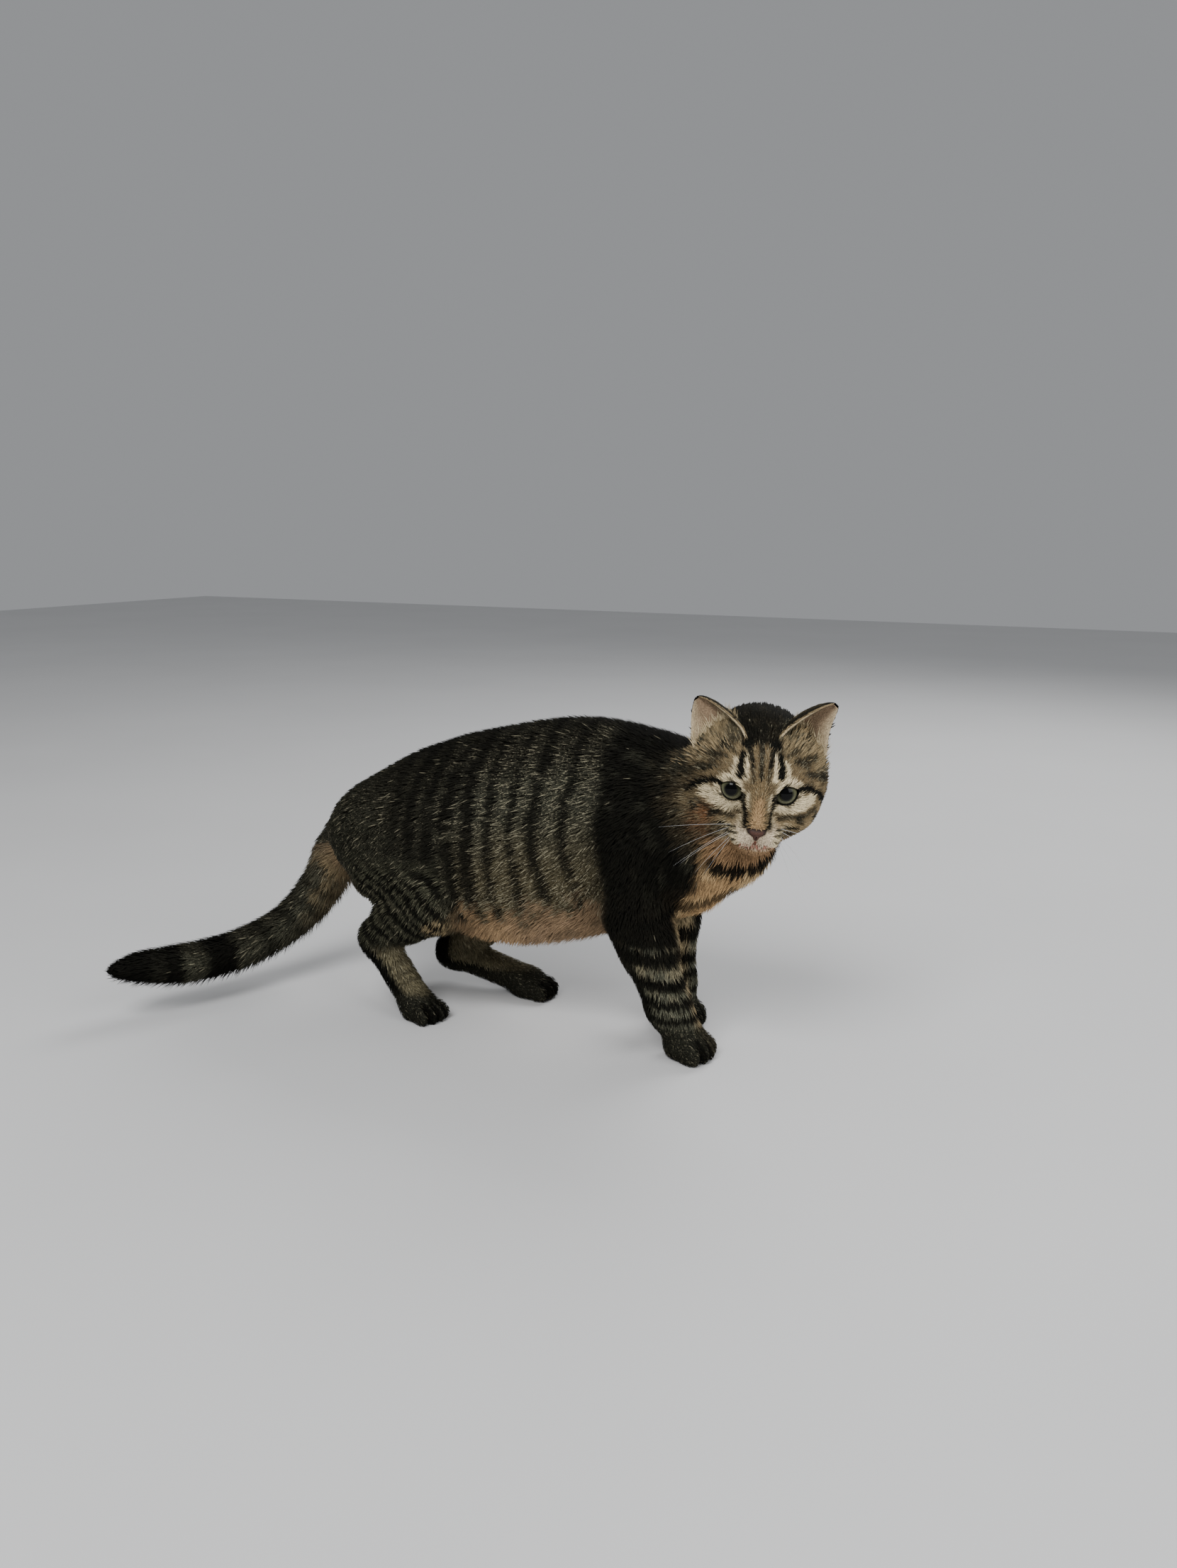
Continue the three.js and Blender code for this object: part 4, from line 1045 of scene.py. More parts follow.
def with_haunches(c, tick, p, w, wobble):
    """Slanting black stripes over the thighs, and a pale patch on each knee."""
    haunch = ramp(-48, -62, p[:, 0]) * ramp(-168, -145, p[:, 0])
    haunch = haunch * ramp(152, 128, p[:, 2]) * ramp(60, 72, p[:, 2])
    haunch = haunch * ramp(24, 34, np.abs(p[:, 1])) * (1 - w[:, ON_TAIL])
    slant = p[:, 2] + 0.75 * p[:, 0] + 5 * wobble
    bars = haunch * ramp(-0.2, 0.25, np.cos(2 * math.pi * slant / HAUNCH_STEP))
    c = mixed(c, GREY * vec(1.35, 1.35, 1.25), 0.8 * haunch)
    for knee in (KNEE, KNEE * vec(1, -1, 1)):
        c = mixed(c, SAND, 0.8 * ramp(17, 9, np.linalg.norm(p - knee, axis=1)))
    return mixed(c, BLACK, 0.97 * bars), tick * (1 - 0.8 * bars)


def with_throat(c, q, near, wobble):
    """The throat under the chin, its own brown darkened by painted shade under the chin, and the black
    necklace below it.
    """
    before = ramp(-36, -18, q[:, 0]) * ramp(0.02, 0.3, near) * ramp(33, 24, np.abs(q[:, 1] + 1))
    throat = ramp(-33, -37, q[:, 2]) * ramp(-60, -55, q[:, 2]) * before
    # painted shade: the throat's own brown, darkened for the shade that the chin casts on it
    c = mixed(c, SAND * vec(0.66, 0.52, 0.48), 0.92 * throat)
    sag = q[:, 2] + 56.5 - 0.006 * (q[:, 1] + 6) ** 2 + 1.5 * wobble
    return mixed(c, BLACK, 0.98 * ramp(6.6, 4.6, np.abs(sag)) * before)


def markings(p):
    """The coat's colour at points of the body, and how strongly pale hairs show through it."""
    p = settle(surface, p, 2, 6)
    w = weights(part_distances(p))
    q = into_head(p)
    wobble, small = noise(p, 17, 1), noise(p, 7, 2)
    c, tick = trunk_colours(p, wobble, small)
    limbs = [
        tail_colours(p, wobble, small),
        *(foreleg_colours(p, side, wobble, small) for side in SIDES),
        *(hindleg_colours(p, side, wobble) for side in SIDES),
    ]
    for column, (colours, flecks) in zip((ON_TAIL, *LEG_COLUMNS), limbs):
        share = w[:, column]
        c = mixed(c, colours, share)
        tick = tick * (1 - share) + share * flecks
    c, tick = with_haunches(c, tick, p, w, wobble)
    face = w[:, ON_HEAD]
    near = np.nonzero(face > 0.05)[0]
    if len(near):
        head_ground = mixed(np.tile(GREY * 1.25, (len(near), 1)), TAN, 0.5 * ramp(-0.4, 0.5, small[near]))
        painted = face_colours(q[near], head_ground, wobble[near])
        c[near] = mixed(c[near], painted, face[near])
        tick[near] = tick[near] * (1 - face[near]) + 0.5 * face[near]
    c = with_throat(c, q, w[:, : ON_THROAT + 1].sum(1) + face, wobble)
    # Pale hairs show neither in pale fur nor in the blackest.
    light = c.mean(1)
    return c, tick * ramp(0.17, 0.07, light) * (0.12 + 0.88 * ramp(0.005, 0.02, light))


def slope_up(p):
    """From -1 below the tail's middle line to 1 above it."""
    _, run = along(p, TAIL_POINTS)
    middle = np.interp(run, TAIL_RUN, TAIL_POINTS[:, 2])
    return np.clip((p[:, 2] - middle) / 18, -1, 1)


# ---------------------------------------------------------------- the skin
def fineness(p):
    """How long an edge of the skin may be where it lies."""
    q = into_head(p)
    want = np.full(len(p), 4.5)
    want = np.where(p[:, 2] < 26, 2.2, want)
    face = (q[:, 0] > -30) & (np.abs(q[:, 1]) < 50) & (np.abs(q[:, 2]) < 45)
    want = np.where(face, 2.2, want)
    muzzle = (q[:, 0] > 6) & (np.abs(q[:, 1]) < 20) & (q[:, 2] < -8) & (q[:, 2] > -44)
    want = np.where(muzzle, 1.1, want)
    want = np.where((mouth_distance(q) < 2.2) & (q[:, 0] > 10), 0.7, want)
    for side in SIDES:
        e = into_eye(q, side)
        r = np.linalg.norm(e, axis=1)
        gap = np.abs(lid_gap(e))
        want = np.where((r < 14) & (e[:, 0] > 0), 1.0, want)
        want = np.where((r < 13.5) & (e[:, 0] > 0) & (gap < 1.6), 0.55, want)
    return want


SKIN_AXES = [
    spaced(-330, 292, 176, 240, 3.0, 1.35),
    spaced(-205, 122, -102, -34, 3.0, 1.35),
    spaced(-6, 300, 188, 250, 3.0, 1.35),
]
skin_points, skin_quads = surface_nets(gridded(skin_surface, SKIN_AXES), SKIN_AXES)
skin_faces = halved(skin_points, skin_quads)
skin_points = settle(skin_surface, skin_points, 2, 0.8)
for _ in range(3):
    skin_points, skin_faces = refined(skin_points, skin_faces, fineness, skin_surface)
skin_normals = corner_normals(skin_points, skin_faces)


def ear_sheet(side, u, v):
    """A place on the ear's curved sheet, in the head's frame: u across to its outer edge, v to its tip."""
    shape = EARS[side]
    medial, lateral, tip, bulge = (vec(*shape[key]) for key in ("medial", "lateral", "tip", "bulge"))
    rise = np.maximum(v, 0)
    spread = (np.sqrt(np.maximum(1 - rise**EAR_SHOULDERS, 0)) * (1 - EAR_ROUND * rise) * 0.97)[:, None]
    u, v = u[:, None], v[:, None]
    spine = (medial + lateral) / 2 * (1 - v) + tip * v
    sideways = (u - 0.5) * spread - shape["hollow"] * u * np.sin(math.pi * np.maximum(v, 0))
    return spine + (lateral - medial) * sideways + bulge * np.sin(math.pi * u) * spread


EAR_STEP = 0.005  # the share over which the sheet's slope is taken


def ear_leaf(side, u, v, depth):
    """A place in front of an ear's sheet by a depth, in the body's frame."""
    over_u = ear_sheet(side, u + EAR_STEP, v) - ear_sheet(side, u - EAR_STEP, v)
    over_v = ear_sheet(side, u, v + EAR_STEP) - ear_sheet(side, u, v - EAR_STEP)
    ahead = unit(np.cross(over_u, over_v)) * SIDES[side]
    return from_head(ear_sheet(side, u, v) + ahead * depth[:, None])


EAR_ROWS, EAR_COLUMNS = 34, 26
EAR_ROOT, EAR_TOP = -0.3, 0.975
EAR_COVER = 0.75  # from the coat's tips to the ear's skin, on each face


def ear_depth(shell, v):
    """Shell 0 is the open, inner face and shell 1 the furred back."""
    thick = EAR_THICK - (EAR_THICK - EAR_THIN) * np.maximum(v, 0)
    return -EAR_COVER - shell * (thick - 2 * EAR_COVER)


def ear_mesh(side):
    """The ear's closed leaf, with each point's u, v and shell."""
    rows = np.linspace(EAR_ROOT, EAR_TOP, EAR_ROWS + 1)
    columns = np.linspace(0, 1, EAR_COLUMNS + 1)
    v, u = (grid.ravel() for grid in np.meshgrid(rows, columns, indexing="ij"))
    u, v = np.tile(u, 2), np.tile(v, 2)
    shell = np.repeat([0, 1], len(u) // 2)
    points = ear_leaf(side, u, v, ear_depth(shell, v))
    number = np.arange(len(points)).reshape(2, EAR_ROWS + 1, EAR_COLUMNS + 1)
    quads = []
    for sheet, turn in ((number[0], 1), (number[1], -1)):
        ring = [sheet[:-1, :-1], sheet[:-1, 1:], sheet[1:, 1:], sheet[1:, :-1]][::turn]
        quads.append(np.stack(ring, -1).reshape(-1, 4))
    a, b = number
    quads.append(np.column_stack([a[:-1, 0], a[1:, 0], b[1:, 0], b[:-1, 0]]))
    quads.append(np.column_stack([a[1:, -1], a[:-1, -1], b[:-1, -1], b[1:, -1]]))
    quads.append(np.column_stack([a[0, 1:], a[0, :-1], b[0, :-1], b[0, 1:]]))
    quads.append(np.column_stack([a[-1, :-1], a[-1, 1:], b[-1, 1:], b[-1, :-1]]))
    quads = np.vstack(quads)
    faces = np.vstack([quads[:, [0, 1, 2]], quads[:, [0, 2, 3]]])
    a, b, c = (points[faces[:, i]] - points.mean(0) for i in range(3))
    if np.einsum("ij,ij->i", a, np.cross(b, c)).sum() < 0:
        faces = faces[:, ::-1]
    return points, faces, u, v, shell


EAR_PINK = vec(0.275, 0.195, 0.125)


def ear_colours(u, v, shell, grain):
    # painted shade: the inner face darkens deep in the ear's hollow, towards its root
    hollow_shade = ramp(0.45, -0.05, v) * ramp(0, 0.4, u) * ramp(1.0, 0.6, u)
    inside = mixed(np.tile(EAR_PINK, (len(u), 1)), EAR_PINK * vec(0.45, 0.33, 0.3), hollow_shade)
    inside = mixed(inside, CREAM * 0.75, 0.8 * ramp(0.06, 0.02, u) * ramp(0.8, 0.55, v))
    inside = mixed(inside, CREAM * 0.8, 0.5 * ramp(0.75, 1.0, u))
    back = mixed(np.tile(GREY, (len(u), 1)), TAN, 0.5 * ramp(-0.2, 0.7, grain))
    back = mixed(back, BLACK, 0.85 * ramp(0.35, 0.1, u) + 0.7 * ramp(0.75, 0.95, v))
    back = mixed(back, SAND * 0.7, 0.6 * ramp(0.6, 0.95, u) * ramp(0.7, 0.4, v))
    back = mixed(back, SAND, 0.8 * ramp(0.035, 0.01, u))
    return mixed(inside, back, shell.astype(float))


body_colours, body_flecks = markings(skin_points)
# Bare rims of the lids, at the edge of the socket.
into_face = into_head(skin_points)
for side in SIDES:
    e = into_eye(into_face, side)
    rim = (np.linalg.norm(e, axis=1) < EYE["radius"] + 2.2) & (e[:, 0] > 0)
    body_colours[rim] = mixed(body_colours[rim], BLACK, ramp(1.3, 0.6, lid_gap(e[rim])))
points_all, faces_all = [skin_points], [skin_faces]
colours_all = [with_flecks(body_colours, body_flecks)]
for side in SIDES:
    points, faces, u, v, shell = ear_mesh(side)
    faces_all.append(faces + sum(len(part) for part in points_all))
    points_all.append(points)
    colours_all.append(with_flecks(ear_colours(u, v, shell, noise(points, 5, 4)), 0.0))

FLESH = [
    "head", "neck", "chest", "abdomen", "rump",
    "tail_base", "tail_middle", "tail_tip", "ear_right", "ear_left",
    *(
        f"{part}_{side}"
        for part in ("forepaw", "forearm", "upper_arm", "hindpaw", "metatarsus", "shank", "thigh")
        for side in SIDES
    ),
]
skin_material = fur_material("skin", 0.9, 0.5)
made(
    "skin", np.vstack(points_all), np.vstack(faces_all), skin_material,
    colour=np.vstack(colours_all), nodes=FLESH,
)


# ---------------------------------------------------------------- the coat
def heading_of(turn):
    return vec(math.cos(math.radians(turn)), math.sin(math.radians(turn)), 0)


def lie(p, w, q, normal):
    """Which way the hair lies."""
    flank = ramp(0.3, 0.9, np.abs(normal[:, 1]))
    under = ramp(110, 84, p[:, 2])
    out = np.zeros_like(p)
    trunk = np.column_stack([-1.0 + 0.55 * under, 0 * flank, -0.12 - 0.4 * flank - 0.75 * under])
    out += w[:, ON_TRUNK, None] * trunk
    out += w[:, ON_NECK, None] * vec(-0.75, 0.25, -0.6)
    out += w[:, ON_THROAT, None] * vec(-0.42, 0.1, -1.0)
    _, run = along(p, TAIL_POINTS)
    step = np.gradient(TAIL_POINTS, axis=0)
    tail = np.column_stack([np.interp(run, TAIL_RUN, step[:, a]) for a in range(3)])
    out += w[:, ON_TAIL, None] * unit(tail)
    from_nose = q - vec(37, 0, -8)
    out += w[:, ON_HEAD, None] * unit(unit(from_nose) + 0.25 * vec(-1, 0, 0)) @ HEAD_TURN.T
    for column, leg in zip(LEG_COLUMNS, LEGS):
        toward = heading_of(leg["turn"])
        foot = ramp(34, 14, p[:, 2])[:, None]
        if "elbow" in leg:
            down = vec(-0.12, 0, -1)
        else:
            foot_share, shank_share = ramp(70, 50, p[:, 2])[:, None], ramp(50, 70, p[:, 2])[:, None]
            down = vec(0.35, 0, -0.8) * foot_share + vec(-0.5, 0, -0.85) * shank_share
        out += w[:, column, None] * (down * (1 - foot) + (toward + vec(0, 0, -0.5)) * foot)
    return out


COAT = {  # length, width and spacing of the tufts, in millimetres
    "trunk": (12, 1.2, 1.5), "neck": (12, 1.2, 1.5), "throat": (14, 1.25, 1.5), "tail": (13, 1.2, 1.5),
    "head": (8.5, 1.1, 1.35), "fore_right": (8, 1.05, 1.5), "fore_left": (8, 1.05, 1.55),
    "hind_right": (8.5, 1.0, 1.5), "hind_left": (8.5, 1.05, 1.65),
}
COAT_BY_PART = np.array([COAT[name] for name in PART_NAMES])


def by_the_ears(q):
    """One where the coat meets the open side of an ear, falling to none around it."""
    near = np.zeros(len(q))
    for side in SIDES:
        medial, lateral = (vec(*EARS[side][key]) for key in ("medial", "lateral"))
        foot = np.array([medial * 0.6 + lateral * 0.4, lateral]) + vec(4, 0, -2)
        off, _ = along(q, foot)
        near = np.maximum(near, ramp(15, 7, off))
    return near


def coat_plan(p, w, q):
    plan = w @ COAT_BY_PART
    length, width, spacing = plan.T.copy()
    under = w[:, ON_TRUNK] * ramp(112, 78, p[:, 2])
    length = length + 7.5 * under
    legs = w[:, LEG_COLUMNS].sum(1)
    foot = legs * ramp(50, 16, p[:, 2])
    length = length * (1 - 0.56 * foot)
    width = width * (1 - 0.35 * foot)
    spacing = spacing * (1 - 0.26 * foot)
    length = length + 6 * w[:, ON_HEAD] * by_the_ears(q)
    face = w[:, ON_HEAD] * ramp(-38, 6, q[:, 0])
    near_nose = np.linalg.norm(q - vec(31, 0, -18), axis=1)
    length = length * (1 - face) + (2.0 + 0.075 * near_nose) * face
    width = width * (1 - face) + 0.66 * face
    spacing = spacing * (1 - face) + 0.86 * face
    return length, width, spacing


TUFT = np.array([  # the root's ring 0-2, the middle's ring 3-5 and the tip 6
    [2, 1, 0], [0, 1, 4], [0, 4, 3], [1, 2, 5], [1, 5, 4],
    [2, 0, 3], [2, 3, 5], [3, 4, 6], [4, 5, 6], [5, 3, 6],
])
PATCH = 0.003  # a tuft's share of the unwrap, each way


def tuft_meshes(roots, mids, tips, ups, sides, width, colours, uv):
    """Closed, flattened, three-sided tufts. `ups` and `sides` hold a direction for root, middle and tip."""
    n = len(roots)
    points = np.empty((n, 7, 3))
    normals = np.empty((n, 7, 3))
    shade = np.empty((n, 7, 4))
    patch = np.empty((n, 7, 2))
    half = width[:, None] / 2
    for ring, (middle, share, thick) in enumerate(((roots, 0.75, 0.3), (mids, 1.0, 0.26))):
        up, side = ups[ring], sides[ring]
        points[:, 3 * ring] = middle - side * half * share
        points[:, 3 * ring + 1] = middle + side * half * share
        points[:, 3 * ring + 2] = middle + up * width[:, None] * thick
        normals[:, 3 * ring] = unit(up - 0.35 * side)
        normals[:, 3 * ring + 1] = unit(up + 0.35 * side)
        normals[:, 3 * ring + 2] = up
        shade[:, 3 * ring : 3 * ring + 3] = colours[ring][:, None]
        patch[:, 3 * ring : 3 * ring + 3] = uv[:, None] + vec(0, (ring * 0.5 - 0.5) * PATCH)
        patch[:, 3 * ring : 3 * ring + 3, 0] += vec(-0.5, 0.5, 0) * PATCH
    patch[:, 2, 1] -= 0.15 * PATCH
    points[:, 6], normals[:, 6], shade[:, 6] = tips, ups[2], colours[2]
    patch[:, 6] = uv + vec(0, 0.5 * PATCH)
    faces = TUFT[None] + 7 * np.arange(n)[:, None, None]
    return tuple(a.reshape(-1, a.shape[-1]) for a in (points, faces, normals, shade, patch))


def sampled(points, faces, spacing):
    """Places spread over triangles, about `spacing` apart at each triangle."""
    a, b, c = (points[faces[:, i]] for i in range(3))
    area = np.linalg.norm(np.cross(b - a, c - a), axis=1) / 2
    total = np.cumsum(area / spacing**2)
    at = (np.arange(int(total[-1])) + rng.random(int(total[-1]))).clip(0, total[-1] * 0.999999)
    pick = np.searchsorted(total, at)
    u, v = rng.random((2, len(pick)))
    over = u + v > 1
    u, v = np.where(over, 1 - u, u), np.where(over, 1 - v, v)
    share = np.column_stack([1 - u - v, u, v])
    return pick, share


middles = skin_points[skin_faces].mean(1)
middle_weights = weights(part_distances(middles))
_, _, spacing = coat_plan(middles, middle_weights, into_head(middles))
pick, share = sampled(skin_points, skin_faces, spacing)
corners = skin_faces[pick]
roots = np.einsum("ij,ijk->ik", share, skin_points[corners])
normals = unit(np.einsum("ij,ijk->ik", share, skin_normals[corners]))
q = into_head(roots)
bare = (roots[:, 2] < 1.0) | ((mouth_distance(q) < 1.0) & (q[:, 0] > 14) & (np.abs(q[:, 1]) < 14))
bare |= (nose_form(q) < 1.0) & (q[:, 0] > 16)
for side in SIDES:
    e = into_eye(q, side)
    bare |= (np.linalg.norm(e, axis=1) < EYE["radius"] + 3) & (e[:, 0] > -4) & (lid_gap(e) < 0.9)
    bare |= np.linalg.norm(e, axis=1) < EYE["radius"] + 0.6
roots, normals, q = roots[~bare], normals[~bare], q[~bare]

d = part_distances(roots)
w = weights(d)
length, width, _ = coat_plan(roots, w, q)
depth = coat_depth(roots, d, w)
length *= rng.uniform(0.72, 1.25, len(roots))
width *= rng.uniform(0.75, 1.3, len(roots))
run = lie(roots, w, q, normals)
run = unit(run - normals * (run * normals).sum(1, keepdims=True))
swing = np.radians(9) * rng.standard_normal(len(roots)) + np.radians(13) * noise(roots, 22, 5)
run = run * np.cos(swing)[:, None] + np.cross(normals, run) * np.sin(swing)[:, None]


def stepped(p, direction, distance, level):
    """Goes along the body, and then to a given level under or over the coat's tips."""
    p = p + direction * distance[:, None]
    up = unit(slope(surface, p, 0.5))
    p = p - up * (surface(p) - level)[:, None]
    return p, up, unit(direction - up * (direction * up).sum(1, keepdims=True))


loose = rng.random(len(roots))
fringe = w[:, ON_TRUNK] * ramp(110, 80, roots[:, 2]) + 1.3 * w[:, ON_TAIL] * ramp(0.1, -0.6, slope_up(roots))
fringe = fringe + 0.35 * w[:, ON_THROAT]
fringe = fringe + 0.8 * w[:, ON_HEAD] * by_the_ears(q)
stray = (0.9 * w[:, :ON_HEAD].sum(1) + 3.2 * fringe) * loose**2  # how far the tips stand out of the coat
mids, up_mid, run_mid = stepped(roots, run, 0.5 * length, -depth * (0.62 - 0.3 * loose))
tips, up_tip, _ = stepped(mids, run_mid, 0.5 * length, stray - depth * (0.42 - 0.5 * loose))
keep = np.ones(len(roots), dtype=bool)
for side in SIDES:
    for at in (mids, tips):
        e = into_eye(into_head(at), side)
        keep &= ~((np.linalg.norm(e, axis=1) < EYE["radius"] + 5) & (e[:, 0] > 0) & (lid_gap(e) < 1.0))
keep &= ~((mouth_distance(into_head(tips)) < 0.45) & (q[:, 0] > 14) & (np.abs(q[:, 1]) < 12))
keep &= ~(nose_form(into_head(tips)) < 0.3)
tips[:, 2] = np.maximum(tips[:, 2], 0.3)
mids[:, 2] = np.maximum(mids[:, 2], 0.3)

ground, tick = markings(roots)
chance = rng.random(len(roots))
tone = rng.uniform(0.82, 1.18, len(roots))[:, None]
pale = (chance < 0.14 * tick)[:, None]
dark = (chance > 0.7)[:, None]
plain_tip = np.where(dark, ground * 0.42, ground * 1.15)
tip_colour = np.where(pale, ground * 0.6 + vec(*FLECK) * 0.9, plain_tip) * tone
mid_colour = np.where(pale, ground * 0.9 + vec(*FLECK) * 0.2, ground) * tone
over_ear = (rng.random(len(roots)) < 0.6 * w[:, ON_HEAD] * by_the_ears(q))[:, None]
tip_colour = np.where(over_ear, SAND * 0.85 * tone, tip_colour)
mid_colour = np.where(over_ear, SAND * 0.65 * tone, mid_colour)
root_colour = ground * 0.5
tip_colour, mid_colour, root_colour = (
    with_flecks(colour, tick * share)
    for colour, share in ((tip_colour, 0.9), (mid_colour, 0.8), (root_colour, 0.0))
)
sides = [np.cross(n, r) for n, r in ((normals, run), (up_mid, run_mid), (up_tip, run_mid))]

# Each tuft belongs to one piece of the coat, and each piece is unwrapped round its own part of the body.
part = w.argmax(1)
trunk_turn = np.arctan2(roots[:, 1], roots[:, 2] - 160)
tail_run = along(roots, TAIL_POINTS)[1]
tail_middle = np.column_stack([np.interp(tail_run, TAIL_RUN, TAIL_POINTS[:, a]) for a in range(3)])
tail_off = roots - tail_middle


def round_leg(leg):
    base = vec(*leg["wrist"][:2]) if "wrist" in leg else vec(leg["hock"][0] + 20, leg["hock"][1])
    off = roots[:, :2] - base
    return np.arctan2(off[:, 1], off[:, 0]), roots[:, 2] + 0.25 * np.hypot(*off.T)


round_trunk = (trunk_turn, roots[:, 0])
round_tail = (np.arctan2(tail_off @ vec(0.5, -0.86, 0), tail_off[:, 2]), tail_run)
round_head = (
    np.arctan2(q[:, 1], -q[:, 0] - 20),
    np.arctan2(q[:, 2] + 5, np.hypot(q[:, 0] + 20, q[:, 1])),
)
face_on = (q[:, 1] * 1.0, q[:, 2] + 0.35 * q[:, 0])
right = roots[:, 1] < 0
high = roots[:, 2] > 160
trunk = part == ON_TRUNK
head = part == ON_HEAD
PIECES = {
    "coat_flank_right_front": (trunk & right & (roots[:, 0] > 5), round_trunk),
    "coat_flank_right_middle": (trunk & right & (roots[:, 0] <= 5) & (roots[:, 0] > -85), round_trunk),
    "coat_rump_right": (trunk & right & (roots[:, 0] <= -85), round_trunk),
    "coat_flank_left_front": (trunk & ~right & (roots[:, 0] > 5), round_trunk),
    "coat_flank_left_middle": (trunk & ~right & (roots[:, 0] <= 5) & (roots[:, 0] > -85), round_trunk),
    "coat_rump_left": (trunk & ~right & (roots[:, 0] <= -85), round_trunk),
    "coat_neck": (part == ON_NECK, round_trunk),
    "coat_throat": (part == ON_THROAT, round_trunk),
    "coat_tail": (part == ON_TAIL, round_tail),
    "coat_head": (head & (q[:, 0] <= -8), round_head),
    "coat_face": (head & (q[:, 0] > -8), face_on),
    **{
        f"coat_{name}": (part == column, round_leg(leg))
        for name, column, leg in zip(LEG_NAMES, LEG_COLUMNS, LEGS)
    },
}
coat_material = fur_material("coat", 0.78, 0.2)
for name, (chosen, (a, b)) in PIECES.items():
    chosen = chosen & keep
    place = np.column_stack([a, b])[chosen]
    place = (place - place.min(0)) / np.ptp(place, axis=0) * (1 - 4 * PATCH) + 2 * PATCH
    points, faces, vertex_normals, shade, uv = tuft_meshes(
        roots[chosen], mids[chosen], tips[chosen],
        [normals[chosen], up_mid[chosen], up_tip[chosen]], [side[chosen] for side in sides],
        width[chosen], [root_colour[chosen], mid_colour[chosen], tip_colour[chosen]], place,
    )
    made(
        name, points, faces, coat_material,
        colour=shade, uv=uv, normals=vertex_normals,
    )


# ---------------------------------------------------------------- fur on the ears
def ear_tufts(side, u, v, shell, toward, length, width, colour, lift):
    """Tufts rooted on an ear's leaf. `toward` is their run across u and v for each root."""
    depth = ear_depth(shell, v)
    at = ear_leaf(side, u, v, depth)
    sign = 1 - 2 * shell
    ahead = ear_leaf(side, u + 0.01 * toward[:, 0], v + 0.01 * toward[:, 1], depth)
    run = unit(ahead - at)
    over_u = ear_leaf(side, u + 0.01, v, depth) - at
    over_v = ear_leaf(side, u, v + 0.01, depth) - at
    out = ear_leaf(side, u, v, depth + 1) - at
    up = unit(np.cross(over_u, over_v))
    up = up * np.sign((up * out).sum(1, keepdims=True)) * sign[:, None]
    root = at - up * 0.15
    mid = at + run * length[:, None] * 0.5 + up * (lift * 0.7)[:, None]
    tip = at + run * length[:, None] + up * lift[:, None]
    across = np.cross(up, run)
    return root, mid, tip, up, across, width, colour


def joined_ear_fur(side):
    def spread(n, u_low, u_high, v_low, v_high):
        return rng.uniform(u_low, u_high, n), rng.uniform(v_low, v_high, n)

    groups = []
    # Short fur over the back and, finer, on the inner face.
    for shell, n, size, wide in ((1, 2600, 5.0, 0.9), (0, 1500, 3.0, 0.5)):
        u, v = spread(n, 0.0, 0.97, -0.2, 0.965)
        toward = np.column_stack([rng.normal(0, 0.25, n), np.ones(n)])
        shells = np.full(n, shell)
        colour = ear_colours(u, v, shells, rng.uniform(-1, 1, n)) * rng.uniform(0.8, 1.2, n)[:, None]
        length = size * rng.uniform(0.7, 1.2, n) * (1 - 0.55 * ramp(0.6, 1, v))
        width, lift = np.full(n, wide), np.full(n, 0.55)
        groups.append(ear_tufts(side, u, v, shells, toward, length, width, colour, lift))
    # Long pale hairs that spring from the inner edge and fan across the opening.
    n = 380
    u, v = spread(n, 0.02, 0.22, -0.1, 0.72)
    toward = np.column_stack([np.full(n, 1.0), rng.uniform(0.15, 0.9, n)])
    colour = np.tile(CREAM * 0.75, (n, 1)) * rng.uniform(0.7, 1.2, n)[:, None]
    length = rng.uniform(9, 19, n) * (1 - 0.5 * ramp(0.3, 0.8, v))
    lift = rng.uniform(1, 3.2, n)
    groups.append(ear_tufts(side, u, v, np.zeros(n), toward, length, np.full(n, 0.42), colour, lift))
    # And from the low outer corner, where the coat closes over the ear's root.
    n = 460
    u, v = spread(n, 0.2, 1.0, -0.22, 0.08)
    toward = np.column_stack([rng.uniform(-0.8, 0.1, n), np.ones(n)])
    colour = mixed(np.tile(SAND * 0.8, (n, 1)), CREAM * 0.8, rng.uniform(0, 1, n))
    length = rng.uniform(8, 16, n)
    lift = rng.uniform(0.6, 3.0, n)
    groups.append(ear_tufts(side, u, v, np.zeros(n), toward, length, np.full(n, 0.5), colour, lift))
    # The thin pale rim.
    n = 300
    u, v = np.repeat([0.985, 0.015], n // 2), rng.uniform(0.05, 0.965, n)
    toward = np.column_stack([rng.normal(0, 0.1, n), np.ones(n)])
    rim = np.tile(SAND * 1.1, (n, 1)) * rng.uniform(0.7, 1.2, n)[:, None]
    length, width, lift = (np.full(n, size) for size in (3.4, 0.4, 0.25))
    groups.append(ear_tufts(side, u, v, np.ones(n), toward, length, width, rim, lift))
    return [np.concatenate(parts) for parts in zip(*groups)]


def ear_unwrap(side, root):
    """Where an ear's root places lie on its own leaf, flattened."""
    shape = EARS[side]
    q = into_head(root)
    medial, lateral, tip = (vec(*shape[key]) for key in ("medial", "lateral", "tip"))
    run_u, run_v = unit(lateral - medial), unit(tip - (medial + lateral) / 2)
    place = np.column_stack([(q - medial) @ run_u, (q - medial) @ run_v])
    return (place - place.min(0)) / np.ptp(place, axis=0) * (1 - 4 * PATCH) + 2 * PATCH


for side in SIDES:
    root, mid, tip, up, across, width, colour = joined_ear_fur(side)
    points, faces, vertex_normals, shade, uv = tuft_meshes(
        root, mid, tip, [up] * 3, [across] * 3, width,
        [with_flecks(colour * share, 0.0) for share in (0.6, 1.0, 1.1)], ear_unwrap(side, root),
    )
    made(
        f"coat_ear_{side}", points, faces, coat_material,
        colour=shade, uv=uv, normals=vertex_normals,
    )


